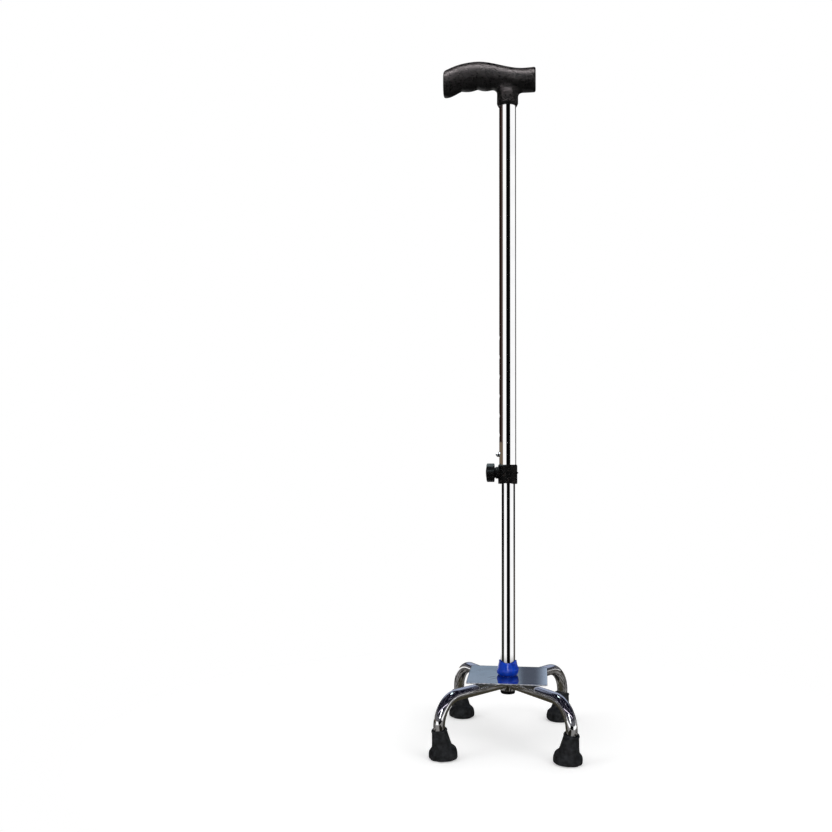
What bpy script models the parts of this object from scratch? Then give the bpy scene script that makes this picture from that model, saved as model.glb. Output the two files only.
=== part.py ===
# Height-adjustable quad cane. Metres, +Z up.
# The origin lies on the floor under the shaft. The handle's heel points to +X
# and its nose to -X. The front feet are at -Y.

from math import atan2, cos, hypot, pi, radians, sin, sqrt

import bmesh
import bpy
from mathutils import Matrix, Vector

# Fits
FIT_GAP = 0.0003            # between faces that are assembled or slide on each other
PRESS_MARGIN = 0.0002       # by which a pressed button clears the outer tube's bore

# Base plate
PLATE_TOP = 0.0814          # height of the plate's upper face above the floor
PLATE_SIDE = 0.1016
PLATE_THICKNESS = 0.0015
PLATE_CORNER_RADIUS = 0.0030

# Legs and feet
LEG_DIAMETER = 0.0143
LEG_WALL = 0.0012
LEG_BEND_RADIUS = 0.0325    # to the tube's centre line
LEG_LEAN = 13.0             # degrees by which a foot leans in towards the shaft
FRONT_FOOT_SPACING = 0.1478
BACK_FOOT_SPACING = 0.1336
FOOT_DEPTH_SPACING = 0.1906
LEG_JOINT_GAP = 0.00015     # from a mitred leg end to the mitre plane
FOOT_HEIGHT = 0.0378        # along the leaning axis
FOOT_BASE_RADIUS = 0.0179
FOOT_SOLE_RADIUS = 0.0142
FOOT_RIM_WALL = 0.0018
FOOT_SOLE_THICKNESS = 0.0080
FOOT_RELIEF_RADIUS = 0.0085 # shallow hollow under the sole
FOOT_RELIEF_DEPTH = 0.0010
FOOT_SOLE_EDGE = (0.035, 0.6, 0.15)
# The edge above and each row here give shares: of the foot's height, of the way
# from the narrower radius to the base's, and of the lean
FOOT_FLARE = (
    (0.075, 0.930, 0.5),
    (0.130, 1.000, 0.8),
    (0.220, 0.970, 1.0),
    (0.305, 0.840, 1.0),
    (0.370, 0.550, 1.0),
    (0.440, 0.350, 1.0),
    (0.600, 0.230, 1.0),
    (0.970, 0.000, 1.0),
)
FOOT_RIM_ROUND = 0.3        # share of the rim's wall
WASHER_THICKNESS = 0.0012
WASHER_HOLE_RADIUS = 0.0030

# Shaft
UPPER_TUBE_DIAMETER = 0.0220
TUBE_WALL = 0.0012
UPPER_TUBE_LENGTH = 0.5258
SHAFT_DEPTH = 0.0194        # from the plate's upper face down to the shaft's end
BUTTON_ABOVE_SHAFT_END = 0.3045
LOWER_TUBE_ABOVE_BUTTON = 0.0450
BUTTON_ABOVE_UPPER_END = 0.0340
HOLE_PITCH = 0.0254
HOLE_COUNT = 7
BUSH_FLANGE = 0.0030
BUSH_STUB = 0.0100
BUSH_BORE_RADIUS = 0.0040

# Spring button
BUTTON_RADIUS = 0.0032
BUTTON_PROUD = 0.0046       # dome's tip beyond the upper tube
BUTTON_FLANGE_WIDTH = 0.0011
BUTTON_FLANGE_THICKNESS = 0.0010
SPRING_STRIP_WIDTH = 0.0060
SPRING_STRIP_THICKNESS = 0.0008
SPRING_RISE = 0.0300        # from the button's axis to the strip's bend
SPRING_FOOT_DROP = 0.0060
SPRING_BEND_SHARE = 0.75    # width of the bend over the distance between the legs
SPRING_LEG_SHARE = 0.25     # share of the rise over which each leg is straight

# Collar with its clamp screw
COLLAR_HEIGHT = 0.0252
COLLAR_WALL = 0.0012
COLLAR_LIP = 0.0037         # thickness of the lip under the upper tube's end
COLLAR_CORNER = 0.0016
COLLAR_GROOVE_DEPTH = 0.0004
COLLAR_GROOVE_WIDTH = 0.0008
COLLAR_ARCH = 0.0012        # rise of the arched lower edge
COLLAR_ARCH_SPAN = 0.0190
CLAMP_ABOVE_UPPER_END = 0.0103
BOSS_RADIUS = 0.0077
BOSS_WALL = 0.0011          # outside the nut pocket
NUT_ACROSS_FLATS = 0.0100
NUT_THICKNESS = 0.0032
SCREW_RADIUS = 0.0027
SCREW_HEAD_THICKNESS = 0.0040
PAD_RADIUS = 0.0026
PAD_THICKNESS = 0.0020
PAD_STEM_RADIUS = 0.0012
PAD_STEM_LENGTH = 0.0020
KNOB_RADIUS = 0.0121
KNOB_LOBES = 8
KNOB_LOBE_DEPTH = 0.0011
KNOB_LENGTH = 0.0102
KNOB_CHAMFER_LENGTH = 0.0015
KNOB_CHAMFER_WIDTH = 0.0027
KNOB_HUB_RADIUS = 0.0070
KNOB_HUB_LENGTH = 0.0011
KNOB_WEB = 0.0034           # between the knob's inner face and the screw's head
CAP_RIM_WALL = 0.0009
CAP_SEAT_DEPTH = 0.0021
CAP_DOME = 0.0010
COLLAR_RIVET_RADIUS = 0.0010
COLLAR_RIVET_PROUD = 0.0013

# Sleeve, socket and plug where the shaft meets the plate
SOCKET_WALL = 0.0010
SOCKET_ABOVE_PLATE = 0.0106
SOCKET_END_RAISE = 0.0005
SLEEVE_HEIGHT = 0.0179
SLEEVE_TOP_RADIUS = 0.0115
SLEEVE_BELLY_RADIUS = 0.0145
SLEEVE_FOOT_RADIUS = 0.0122
SLEEVE_BELLY_HEIGHT = 0.0036
SLEEVE_SCALLOP = 0.0009     # rise and fall of the sleeve's upper rim
SLEEVE_WAIST_SHARE = 0.35   # of the way from the top's radius to the belly's
SLEEVE_WAIST_HEIGHT = 0.55  # share of the height between belly and top
PLUG_ROUND_SHARE = 0.45     # of the flange's thickness
PLUG_TAPER_SHARE = 0.08     # of the stub's radius
PIN_RADIUS = 0.0016
PIN_ABOVE_PLATE = 0.0058
PLUG_FLANGE = 0.0042
PLUG_FLANGE_RADIUS = 0.0094
PLUG_STUB = 0.0120

# Handle
HANDLE_SOCKET_DEPTH = 0.0360
NECK_WALL = 0.0026
NECK_LENGTH = 0.0195        # from the neck's rim to the grip's underside
NECK_CHAMFER = 0.0034
NECK_FILLET = 0.0050
NECK_NARROWING = 0.12       # of the width where the neck spreads along the grip
# Inside the grip the neck draws in: shares of the socket's depth, of the radius and of the spread
NECK_TAIL = ((0.78, 0.93, 0.0), (0.94, 0.84, -0.3))
NOSE_REACH = 0.0843
HEEL_REACH = 0.0368
CROWN_REACH = 0.0400        # where the top line is highest
SADDLE_REACH = 0.0200       # where the top line is lowest, towards the heel
NOSE_TOP = 0.0502           # heights above the neck's rim
CROWN_TOP = 0.0611
SADDLE_TOP = 0.0502
HEEL_TOP = 0.0514
NOSE_TOP_SLOPE = 0.52
HEEL_TOP_SLOPE = 0.12
TIP_REACH = 0.0800          # where the nose's underside is lowest
TIP_BOTTOM = 0.0161
SWELL_REACHES = (0.0608, 0.0395, 0.0211)    # valleys beside the two finger swells
SWELL_BOTTOMS = (0.0240, 0.0258, 0.0244)
SWELL_DEPTH = 0.0016
HEEL_BOTTOM = 0.0195
NOSE_UNDER_SLOPE = 0.44
GRIP_HALF_WIDTH = 0.0143
NOSE_HALF_WIDTH = 0.0122
HEEL_HALF_WIDTH = 0.0130
GRIP_SQUARENESS = 2.5       # exponent of the grip's cross-section
NECK_SQUARENESS = 4.5       # the same for its underside over the neck
GRIP_END_ROUND = 0.0024
SCREW_ABOVE_NECK_RIM = 0.0124
HANDLE_SCREW_RADIUS = 0.0017
HANDLE_SCREW_HEAD_RADIUS = 0.0030
HANDLE_SCREW_HEAD = 0.0014
HANDLE_SCREW_REACH = 0.0012 # tip inside the upper tube's bore
SCREW_RECESS_DEPTH = 0.0008
SCREW_RECESS_WIDTH = 0.0009

# Facets round the turned shapes
SHAFT_FACETS = 32
LEG_FACETS = 18
LEG_BEND_STEPS = 8
FOOT_FACETS = 20
SMALL_FACETS = 20
HOLE_FACETS = 14
GRIP_FACETS = 22

# Sizes that follow from the ones above
UPPER_RADIUS = UPPER_TUBE_DIAMETER / 2
UPPER_BORE = UPPER_RADIUS - TUBE_WALL
LOWER_RADIUS = UPPER_BORE - FIT_GAP
LOWER_BORE = LOWER_RADIUS - TUBE_WALL
SOCKET_BORE = LOWER_RADIUS + FIT_GAP
SOCKET_RADIUS = SOCKET_BORE + SOCKET_WALL
LEG_RADIUS = LEG_DIAMETER / 2
LEG_AXIS = PLATE_TOP - PLATE_THICKNESS - FIT_GAP - LEG_RADIUS
SHAFT_END = PLATE_TOP - SHAFT_DEPTH
BUTTON_Z = SHAFT_END + BUTTON_ABOVE_SHAFT_END
LOWER_TOP = BUTTON_Z + LOWER_TUBE_ABOVE_BUTTON
UPPER_END = BUTTON_Z - BUTTON_ABOVE_UPPER_END
UPPER_TOP = UPPER_END + UPPER_TUBE_LENGTH
CLAMP_Z = UPPER_END + CLAMP_ABOVE_UPPER_END
COLLAR_BORE = UPPER_RADIUS + FIT_GAP
COLLAR_RADIUS = COLLAR_BORE + COLLAR_WALL
COLLAR_BOTTOM = UPPER_END - FIT_GAP - COLLAR_LIP
NECK_RIM = UPPER_TOP + FIT_GAP - HANDLE_SOCKET_DEPTH
HANDLE_BORE = UPPER_RADIUS + FIT_GAP
NECK_RADIUS = HANDLE_BORE + NECK_WALL
BUTTON_HOLE = BUTTON_RADIUS + FIT_GAP

SHAFT_AXIS_X = Matrix.Rotation(-pi / 2, 4, "Y")     # turns a piece's +Z to -X
SHAFT_AXIS_Y = Matrix.Rotation(-pi / 2, 4, "X")     # turns a piece's +Z to +Y


def clear_scene():
    for item in list(bpy.data.objects):
        bpy.data.objects.remove(item, do_unlink=True)


def make_finish(name, colour, roughness, metallic):
    material = bpy.data.materials.new(name)
    material.use_nodes = True
    shader = material.node_tree.nodes["Principled BSDF"]
    shader.inputs["Base Color"].default_value = (*colour, 1.0)
    shader.inputs["Roughness"].default_value = roughness
    shader.inputs["Metallic"].default_value = metallic
    return material


def make_finishes():
    return {
        "chrome": make_finish("polished_chrome", (0.74, 0.75, 0.77), 0.06, 1.0),
        "steel": make_finish("zinc_steel", (0.52, 0.52, 0.50), 0.35, 1.0),
        "grip": make_finish("grip_plastic", (0.016, 0.016, 0.016), 0.45, 0.0),
        "black": make_finish("black_plastic", (0.012, 0.012, 0.013), 0.38, 0.0),
        "blue": make_finish("blue_plastic", (0.010, 0.045, 0.500), 0.22, 0.0),
        "rubber": make_finish("foot_rubber", (0.022, 0.023, 0.025), 0.75, 0.0),
        "nylon": make_finish("natural_nylon", (0.70, 0.68, 0.62), 0.50, 0.0),
    }


def mesh_from_rings(name, rings, closed=False):
    """Skins a row of rings. A ring of one point is a pole."""
    work = bmesh.new()
    rows = [[work.verts.new(point) for point in ring] for ring in rings]
    pairs = list(zip(rows, rows[1:]))
    if closed:
        pairs.append((rows[-1], rows[0]))
    for low, high in pairs:
        count = max(len(low), len(high))
        for step in range(count):
            after = (step + 1) % count
            corners = [
                low[step % len(low)],
                low[after % len(low)],
                high[after % len(high)],
                high[step % len(high)],
            ]
            work.faces.new(list(dict.fromkeys(corners)))
    if not closed:
        for row in (rows[0], rows[-1]):
            if len(row) > 2:
                work.faces.new(row)
    bmesh.ops.recalc_face_normals(work, faces=work.faces)
    mesh = bpy.data.meshes.new(name)
    work.to_mesh(mesh)
    work.free()
    mesh.shade_smooth()
    mesh.set_sharp_from_angle(angle=radians(35))
    return mesh


def circle(radius, height, facets, lobes=0, lobe_depth=0.0):
    """One ring of a turned piece. The lobes draw the radius in between their tips."""
    if radius == 0:
        return [Vector((0, 0, height))]
    points = []
    for step in range(facets):
        angle = 2 * pi * step / facets
        reach = radius - lobe_depth * (1 - cos(lobes * angle)) / 2
        points.append(Vector((reach * cos(angle), reach * sin(angle), height)))
    return points


def turned_mesh(name, profile, facets, closed=False, turn=None):
    """Turns a profile of (radius, height) round +Z, then turns the piece by the matrix."""
    mesh = mesh_from_rings(name, [circle(r, z, facets) for r, z in profile], closed)
    if turn is not None:
        mesh.transform(turn)
    return mesh


def tube_mesh(name, outer, bore, low, high, facets):
    profile = [(outer, low), (outer, high), (bore, high), (bore, low)]
    return turned_mesh(name, profile, facets, closed=True)


def add_piece(name, mesh, finish, location=(0, 0, 0), rotation=(0, 0, 0)):
    piece = bpy.data.objects.new(name, mesh)
    bpy.context.scene.collection.objects.link(piece)
    piece.location = location
    piece.rotation_euler = rotation
    if finish is not None and not mesh.materials:
        mesh.materials.append(finish)
    return piece


def add_helper(name, mesh, location=(0, 0, 0), rotation=(0, 0, 0)):
    helper = add_piece(name, mesh, None, location, rotation)
    helper.hide_render = True
    helper.display_type = "WIRE"
    return helper


def combine(piece, helper, operation="DIFFERENCE"):
    modifier = piece.modifiers.new(helper.name, "BOOLEAN")
    modifier.operation = operation
    modifier.object = helper
    modifier.solver = "EXACT"


def drill(piece, name, radius, start, end, facets=HOLE_FACETS):
    """Cuts a round hole from start to end, both in world space."""
    start = Vector(start)
    run = Vector(end) - start
    mesh = turned_mesh(name, [(radius, 0), (radius, run.length)], facets)
    rotation = run.to_track_quat("Z", "Y").to_euler()
    combine(piece, add_helper(name, mesh, start, rotation))


def hexagon_prism(name, across_flats, low, high):
    corner = across_flats / 2 / cos(pi / 6)
    rings = [circle(corner, low, 6), circle(corner, high, 6)]
    mesh = mesh_from_rings(name, rings)
    mesh.transform(Matrix.Rotation(pi / 6, 4, "Z"))
    mesh.transform(SHAFT_AXIS_X)
    return mesh


def box_mesh(name, size_x, size_y, size_z):
    work = bmesh.new()
    bmesh.ops.create_cube(work, size=1.0)
    bmesh.ops.scale(work, vec=(size_x, size_y, size_z), verts=work.verts)
    mesh = bpy.data.meshes.new(name)
    work.to_mesh(mesh)
    work.free()
    return mesh


def arc(centre, radius, start, end, steps):
    """Points of (radius, height) along an arc, with angles in degrees from the +radius side."""
    points = []
    for step in range(steps + 1):
        angle = radians(start + (end - start) * step / steps)
        points.append((centre[0] + radius * cos(angle), centre[1] + radius * sin(angle)))
    return points


def hermite(x, start, end, start_slope, end_slope):
    """Height at x on the smooth curve from start to end, each (x, height)."""
    span = end[0] - start[0]
    t = (x - start[0]) / span
    return (
        (2 * t**3 - 3 * t**2 + 1) * start[1]
        + (t**3 - 2 * t**2 + t) * span * start_slope
        + (3 * t**2 - 2 * t**3) * end[1]
        + (t**3 - t**2) * span * end_slope
    )


# Base plate and socket


def make_base_plate(finishes):
    work = bmesh.new()
    bmesh.ops.create_cube(work, size=1.0)
    bmesh.ops.scale(work, vec=(PLATE_SIDE, PLATE_SIDE, PLATE_THICKNESS), verts=work.verts)
    upright = [e for e in work.edges if abs(e.verts[0].co.z - e.verts[1].co.z) > PLATE_THICKNESS / 2]
    radius = PLATE_CORNER_RADIUS
    bmesh.ops.bevel(work, geom=upright, offset=radius, segments=4, profile=0.5, affect="EDGES")
    mesh = bpy.data.meshes.new("base_plate")
    work.to_mesh(mesh)
    work.free()
    middle = PLATE_TOP - PLATE_THICKNESS / 2
    plate = add_piece("base_plate", mesh, finishes["chrome"], (0, 0, middle))
    drill(
        plate,
        "plate_hole",
        SOCKET_RADIUS + FIT_GAP,
        (0, 0, PLATE_TOP - 2 * PLATE_THICKNESS),
        (0, 0, PLATE_TOP + PLATE_THICKNESS),
        SHAFT_FACETS,
    )
    return plate


def make_base_socket(finishes):
    low = SHAFT_END + SOCKET_END_RAISE
    high = PLATE_TOP + SOCKET_ABOVE_PLATE
    mesh = tube_mesh("base_socket", SOCKET_RADIUS, SOCKET_BORE, low, high, SHAFT_FACETS)
    socket = add_piece("base_socket", mesh, finishes["steel"])
    drill_pin_hole(socket, "socket_pin_hole")
    return socket


def drill_pin_hole(piece, name):
    height = PLATE_TOP + PIN_ABOVE_PLATE
    reach = SOCKET_RADIUS + SOCKET_WALL
    drill(piece, name, PIN_RADIUS + FIT_GAP, (0, -reach, height), (0, reach, height))


def make_base_pin(finishes):
    half = SOCKET_RADIUS - FIT_GAP
    profile = [(0, -half), (PIN_RADIUS, -half), (PIN_RADIUS, half), (0, half)]
    mesh = turned_mesh("base_pin", profile, HOLE_FACETS, turn=SHAFT_AXIS_Y)
    return add_piece("base_pin", mesh, finishes["steel"], (0, 0, PLATE_TOP + PIN_ABOVE_PLATE))


def make_base_sleeve(finishes):
    """Blue sleeve that hides the socket. Its upper rim rises at both sides."""
    socket_seat = SOCKET_ABOVE_PLATE + FIT_GAP
    low_bore = SOCKET_RADIUS + FIT_GAP
    high_bore = LOWER_RADIUS + FIT_GAP
    top = SLEEVE_HEIGHT
    belly = SLEEVE_BELLY_HEIGHT
    waist = SLEEVE_TOP_RADIUS + SLEEVE_WAIST_SHARE * (SLEEVE_BELLY_RADIUS - SLEEVE_TOP_RADIUS)
    waist_height = belly + SLEEVE_WAIST_HEIGHT * (top - belly)
    edge = (SLEEVE_TOP_RADIUS - high_bore) / 4
    profile = [
        (low_bore, FIT_GAP),
        (SLEEVE_FOOT_RADIUS, FIT_GAP),
        ((SLEEVE_FOOT_RADIUS + 2 * SLEEVE_BELLY_RADIUS) / 3, belly * 0.4),
        (SLEEVE_BELLY_RADIUS, belly),
        ((SLEEVE_BELLY_RADIUS + waist) / 2, (belly + waist_height) / 2),
        (waist, waist_height),
        (SLEEVE_TOP_RADIUS, top - edge),
        (SLEEVE_TOP_RADIUS - edge, top),
        (high_bore, top),
        (high_bore, socket_seat + low_bore - high_bore),
        (low_bore, socket_seat),
    ]
    rings = [circle(radius, height, SHAFT_FACETS) for radius, height in profile]
    for ring in rings:
        for point in ring:
            share = max(0.0, point.z - socket_seat) / (top - socket_seat)
            point.z += SLEEVE_SCALLOP * cos(2 * atan2(point.y, point.x)) * share**2
    mesh = mesh_from_rings("base_sleeve", rings, closed=True)
    return add_piece("base_sleeve", mesh, finishes["blue"], (0, 0, PLATE_TOP))


def make_base_plug(finishes):
    """Plug in the shaft's lower end, with a rounded head."""
    round_off = PLUG_FLANGE * PLUG_ROUND_SHARE
    head = arc((PLUG_FLANGE_RADIUS - round_off, -PLUG_FLANGE + round_off), round_off, -90, 0, 4)
    stub = LOWER_BORE - FIT_GAP
    taper = stub * PLUG_TAPER_SHARE
    profile = [(0, -PLUG_FLANGE)] + head
    profile += [(PLUG_FLANGE_RADIUS, -FIT_GAP), (stub, -FIT_GAP)]
    profile += [(stub, PLUG_STUB - 2 * taper), (stub - taper, PLUG_STUB), (0, PLUG_STUB)]
    mesh = turned_mesh("base_plug", profile, SMALL_FACETS)
    return add_piece("base_plug", mesh, finishes["black"], (0, 0, SHAFT_END))


# Legs and feet


def foot_places():
    """Name, floor point and direction from the shaft of each foot, going round."""
    places = []
    for name, spacing, side, end in (
        ("back_right", BACK_FOOT_SPACING, 1, 1),
        ("back_left", BACK_FOOT_SPACING, -1, 1),
        ("front_left", FRONT_FOOT_SPACING, -1, -1),
        ("front_right", FRONT_FOOT_SPACING, 1, -1),
    ):
        x = side * spacing / 2
        y = end * FOOT_DEPTH_SPACING / 2
        places.append((name, Vector((x, y, 0)), atan2(y, x) % (2 * pi)))
    return places


def leg_centre_line(reach, end):
    """Points (distance from the shaft, height) and slopes along a leg, to its end over the sole."""
    lean = radians(LEG_LEAN)
    bend = pi / 2 + lean
    end_drop = LEG_BEND_RADIUS * (1 - cos(bend))
    foot_run = (LEG_AXIS - end_drop) / cos(lean)
    straight = reach + foot_run * sin(lean) - LEG_BEND_RADIUS * sin(bend)
    points = [(LEG_RADIUS / 2, LEG_AXIS, 0.0)]
    for step in range(LEG_BEND_STEPS + 1):
        angle = bend * step / LEG_BEND_STEPS
        distance = straight + LEG_BEND_RADIUS * sin(angle)
        points.append((distance, LEG_AXIS - LEG_BEND_RADIUS * (1 - cos(angle)), angle))
    points.append((reach + end * sin(lean), end * cos(lean), bend))
    return points


def leg_rings(reach, radius, end):
    rings = []
    for distance, height, slope in leg_centre_line(reach, end):
        ring = []
        for step in range(LEG_FACETS):
            angle = 2 * pi * step / LEG_FACETS
            up = radius * cos(angle)
            ring.append(
                Vector((distance + up * sin(slope), radius * sin(angle), height + up * cos(slope)))
            )
        rings.append(ring)
    return rings


def leg_zone_mesh(name, reach, low_angle, high_angle):
    """Prism that a leg keeps to: outside the socket and between the mitre planes."""
    inner = SOCKET_RADIUS + FIT_GAP
    outer = 1.5 * reach / min(cos(low_angle / 2), cos(high_angle / 2))
    low = low_angle + LEG_JOINT_GAP / inner
    high = high_angle - LEG_JOINT_GAP / inner
    outline = []
    for step in range(SMALL_FACETS + 1):
        angle = low + (high - low) * step / SMALL_FACETS
        outline.append((inner * cos(angle), inner * sin(angle)))
    for step in range(SMALL_FACETS + 1):
        angle = high + (low - high) * step / SMALL_FACETS
        outline.append((outer * cos(angle), outer * sin(angle)))
    bottom = [Vector((x, y, -LEG_RADIUS)) for x, y in outline]
    top = [Vector((x, y, LEG_AXIS + 2 * LEG_RADIUS)) for x, y in outline]
    return mesh_from_rings(name, [bottom, top])


def make_legs(finishes):
    places = foot_places()
    end = FOOT_SOLE_THICKNESS + 2 * FIT_GAP + WASHER_THICKNESS
    legs = []
    for index, (name, point, heading) in enumerate(places):
        before = (heading - places[index - 1][2]) % (2 * pi) / 2
        after = (places[(index + 1) % len(places)][2] - heading) % (2 * pi) / 2
        reach = hypot(point.x, point.y)
        outer = leg_rings(reach, LEG_RADIUS, end)
        bore = leg_rings(reach, LEG_RADIUS - LEG_WALL, end)
        mesh = mesh_from_rings("leg_" + name, outer + bore[::-1], closed=True)
        leg = add_piece("leg_" + name, mesh, finishes["chrome"], rotation=(0, 0, heading))
        zone = leg_zone_mesh("leg_zone_" + name, reach, -before, after)
        combine(leg, add_helper("leg_zone_" + name, zone, rotation=(0, 0, heading)), "INTERSECT")
        legs.append(leg)
    return legs


def foot_mesh():
    """Solid rubber foot with a flat sole on the floor, leaning outwards to its rim."""
    lean = radians(LEG_LEAN)
    rim = LEG_RADIUS + FIT_GAP + FOOT_RIM_WALL
    base = FOOT_BASE_RADIUS
    edge_height, edge_flare, edge_lean = FOOT_SOLE_EDGE
    edge_radius = FOOT_SOLE_RADIUS + edge_flare * (base - FOOT_SOLE_RADIUS)
    # Each row is the height along the leaning axis, the radius, and how far the ring leans
    rows = [
        (FOOT_RELIEF_DEPTH, 0, 0),
        (FOOT_RELIEF_DEPTH, FOOT_RELIEF_RADIUS - FOOT_RELIEF_DEPTH, 0),
        (0, FOOT_RELIEF_RADIUS, 0),
        (0, FOOT_SOLE_RADIUS, 0),
        (edge_height * FOOT_HEIGHT, edge_radius, edge_lean),
    ]
    for height, flare, share in FOOT_FLARE:
        rows.append((height * FOOT_HEIGHT, rim + flare * (base - rim), share))
    rows += [(FOOT_HEIGHT, rim - FOOT_RIM_ROUND * FOOT_RIM_WALL, 1), (FOOT_HEIGHT, 0, 1)]
    rings = []
    for height, radius, share in rows:
        centre = Vector((height * sin(lean), 0, height * cos(lean)))
        ring = circle(radius, 0, FOOT_FACETS)
        turn = Matrix.Rotation(lean * share, 3, "Y")
        rings.append([centre + turn @ point for point in ring])
    for point in rings[0] + rings[1]:
        point.z = FOOT_RELIEF_DEPTH
    return mesh_from_rings("foot", rings)


def make_feet(finishes):
    rubber = foot_mesh()
    washer_profile = [
        (LEG_RADIUS, 0),
        (LEG_RADIUS, WASHER_THICKNESS),
        (WASHER_HOLE_RADIUS, WASHER_THICKNESS),
        (WASHER_HOLE_RADIUS, 0),
    ]
    washer = turned_mesh("foot_washer", washer_profile, LEG_FACETS, closed=True)
    lean = radians(LEG_LEAN)
    seat = FOOT_SOLE_THICKNESS + FIT_GAP
    feet = []
    for name, point, heading in foot_places():
        foot = add_piece("foot_" + name, rubber, finishes["rubber"], point, (0, 0, heading))
        rings = leg_rings(hypot(point.x, point.y), LEG_RADIUS + FIT_GAP, FOOT_SOLE_THICKNESS)
        bore = mesh_from_rings("foot_bore_" + name, rings)
        combine(foot, add_helper("foot_bore_" + name, bore, rotation=(0, 0, heading)))
        feet.append(foot)
        outward = Vector((cos(heading), sin(heading), 0))
        centre = point + outward * seat * sin(lean) + Vector((0, 0, seat * cos(lean)))
        turn = (0, lean, heading)
        feet.append(add_piece("foot_washer_" + name, washer, finishes["steel"], centre, turn))
    return feet


# Shaft


def make_lower_tube(finishes):
    mesh = tube_mesh("lower_tube", LOWER_RADIUS, LOWER_BORE, SHAFT_END, LOWER_TOP, SHAFT_FACETS)
    tube = add_piece("lower_tube", mesh, finishes["chrome"])
    drill_pin_hole(tube, "lower_pin_hole")
    drill(tube, "lower_button_hole", BUTTON_HOLE, (0, 0, BUTTON_Z), (-UPPER_RADIUS, 0, BUTTON_Z))
    return tube


def make_guide_bush(finishes):
    """Plastic ring on the lower tube's top that runs in the upper tube."""
    stub = LOWER_BORE - FIT_GAP
    profile = [
        (stub, -BUSH_STUB),
        (stub, FIT_GAP),
        (LOWER_RADIUS, FIT_GAP),
        (LOWER_RADIUS, BUSH_FLANGE * 0.8),
        (LOWER_RADIUS - BUSH_FLANGE * 0.2, BUSH_FLANGE),
        (BUSH_BORE_RADIUS, BUSH_FLANGE),
        (BUSH_BORE_RADIUS, -BUSH_STUB),
    ]
    mesh = turned_mesh("guide_bush", profile, SHAFT_FACETS, closed=True)
    return add_piece("guide_bush", mesh, finishes["nylon"], (0, 0, LOWER_TOP))


def make_upper_tube(finishes):
    mesh = tube_mesh("upper_tube", UPPER_RADIUS, UPPER_BORE, 0, UPPER_TUBE_LENGTH, SHAFT_FACETS)
    tube = add_piece("upper_tube", mesh, finishes["chrome"], (0, 0, UPPER_END))
    outside = UPPER_RADIUS + TUBE_WALL
    for index in range(HOLE_COUNT):
        height = BUTTON_Z + index * HOLE_PITCH
        name = "adjusting_hole_%d" % (index + 1)
        drill(tube, name, BUTTON_HOLE, (0, 0, height), (-outside, 0, height))
    clamp_hole = PAD_RADIUS + 4 * FIT_GAP
    drill(tube, "clamp_hole", clamp_hole, (0, 0, CLAMP_Z), (-outside, 0, CLAMP_Z))
    rivet_hole = COLLAR_RIVET_RADIUS + FIT_GAP
    drill(tube, "tube_rivet_hole", rivet_hole, (0, 0, CLAMP_Z), (outside, 0, CLAMP_Z))
    height = NECK_RIM + SCREW_ABOVE_NECK_RIM
    screw_hole = HANDLE_SCREW_RADIUS + FIT_GAP
    drill(tube, "tube_screw_hole", screw_hole, (0, 0, height), (0, outside, height))
    return tube


# Spring button


def button_flange_face():
    """Distance from the shaft's axis to the front of the button's flange."""
    flange = BUTTON_RADIUS + BUTTON_FLANGE_WIDTH
    return sqrt(LOWER_BORE**2 - flange**2) - FIT_GAP


def button_travel():
    return BUTTON_PROUD + TUBE_WALL + PRESS_MARGIN


def make_snap_button(finishes):
    flange = BUTTON_RADIUS + BUTTON_FLANGE_WIDTH
    face = button_flange_face()
    tip = UPPER_RADIUS + BUTTON_PROUD
    profile = [(0, face - BUTTON_FLANGE_THICKNESS), (flange, face - BUTTON_FLANGE_THICKNESS)]
    profile += [(flange, face), (BUTTON_RADIUS, face)]
    dome = arc((0, tip - BUTTON_RADIUS), BUTTON_RADIUS, 0, 75, 5)
    profile += dome + [(0, tip)]
    mesh = turned_mesh("snap_button", profile, SMALL_FACETS, turn=SHAFT_AXIS_X)
    return add_piece("snap_button", mesh, finishes["chrome"], (0, 0, BUTTON_Z))


def make_button_spring(finishes):
    """Strip bent over like a hairpin, from the button's back to the tube's far wall."""
    half = SPRING_STRIP_THICKNESS / 2
    near = button_flange_face() - BUTTON_FLANGE_THICKNESS - FIT_GAP - half
    far = sqrt(LOWER_BORE**2 - (SPRING_STRIP_WIDTH / 2) ** 2) - FIT_GAP - half
    bend = (near + far) / 2 * SPRING_BEND_SHARE
    middle = (far - near) / 2
    bend_z = SPRING_RISE - bend
    leg_end = SPRING_RISE * SPRING_LEG_SHARE
    line = [(-near, -SPRING_FOOT_DROP), (-near, leg_end)]
    for step in range(9):
        angle = pi - pi * step / 8
        line.append((middle + bend * cos(angle), bend_z + bend * sin(angle)))
    line += [(far, leg_end), (far, -SPRING_FOOT_DROP)]
    rings = []
    for index, (x, z) in enumerate(line):
        back = line[max(index - 1, 0)]
        ahead = line[min(index + 1, len(line) - 1)]
        along = Vector((ahead[0] - back[0], 0, ahead[1] - back[1])).normalized()
        across = Vector((-along.z, 0, along.x)) * half
        side = Vector((0, SPRING_STRIP_WIDTH / 2, 0))
        centre = Vector((x, 0, z))
        rings.append(
            [centre + across + side, centre + across - side, centre - across - side, centre - across + side]
        )
    mesh = mesh_from_rings("button_spring", rings)
    return add_piece("button_spring", mesh, finishes["steel"], (0, 0, BUTTON_Z))


# Collar and clamp screw


def boss_face():
    """Distance from the shaft's axis to the boss's flat face."""
    return COLLAR_BORE + NUT_THICKNESS + FIT_GAP + BOSS_WALL


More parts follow.
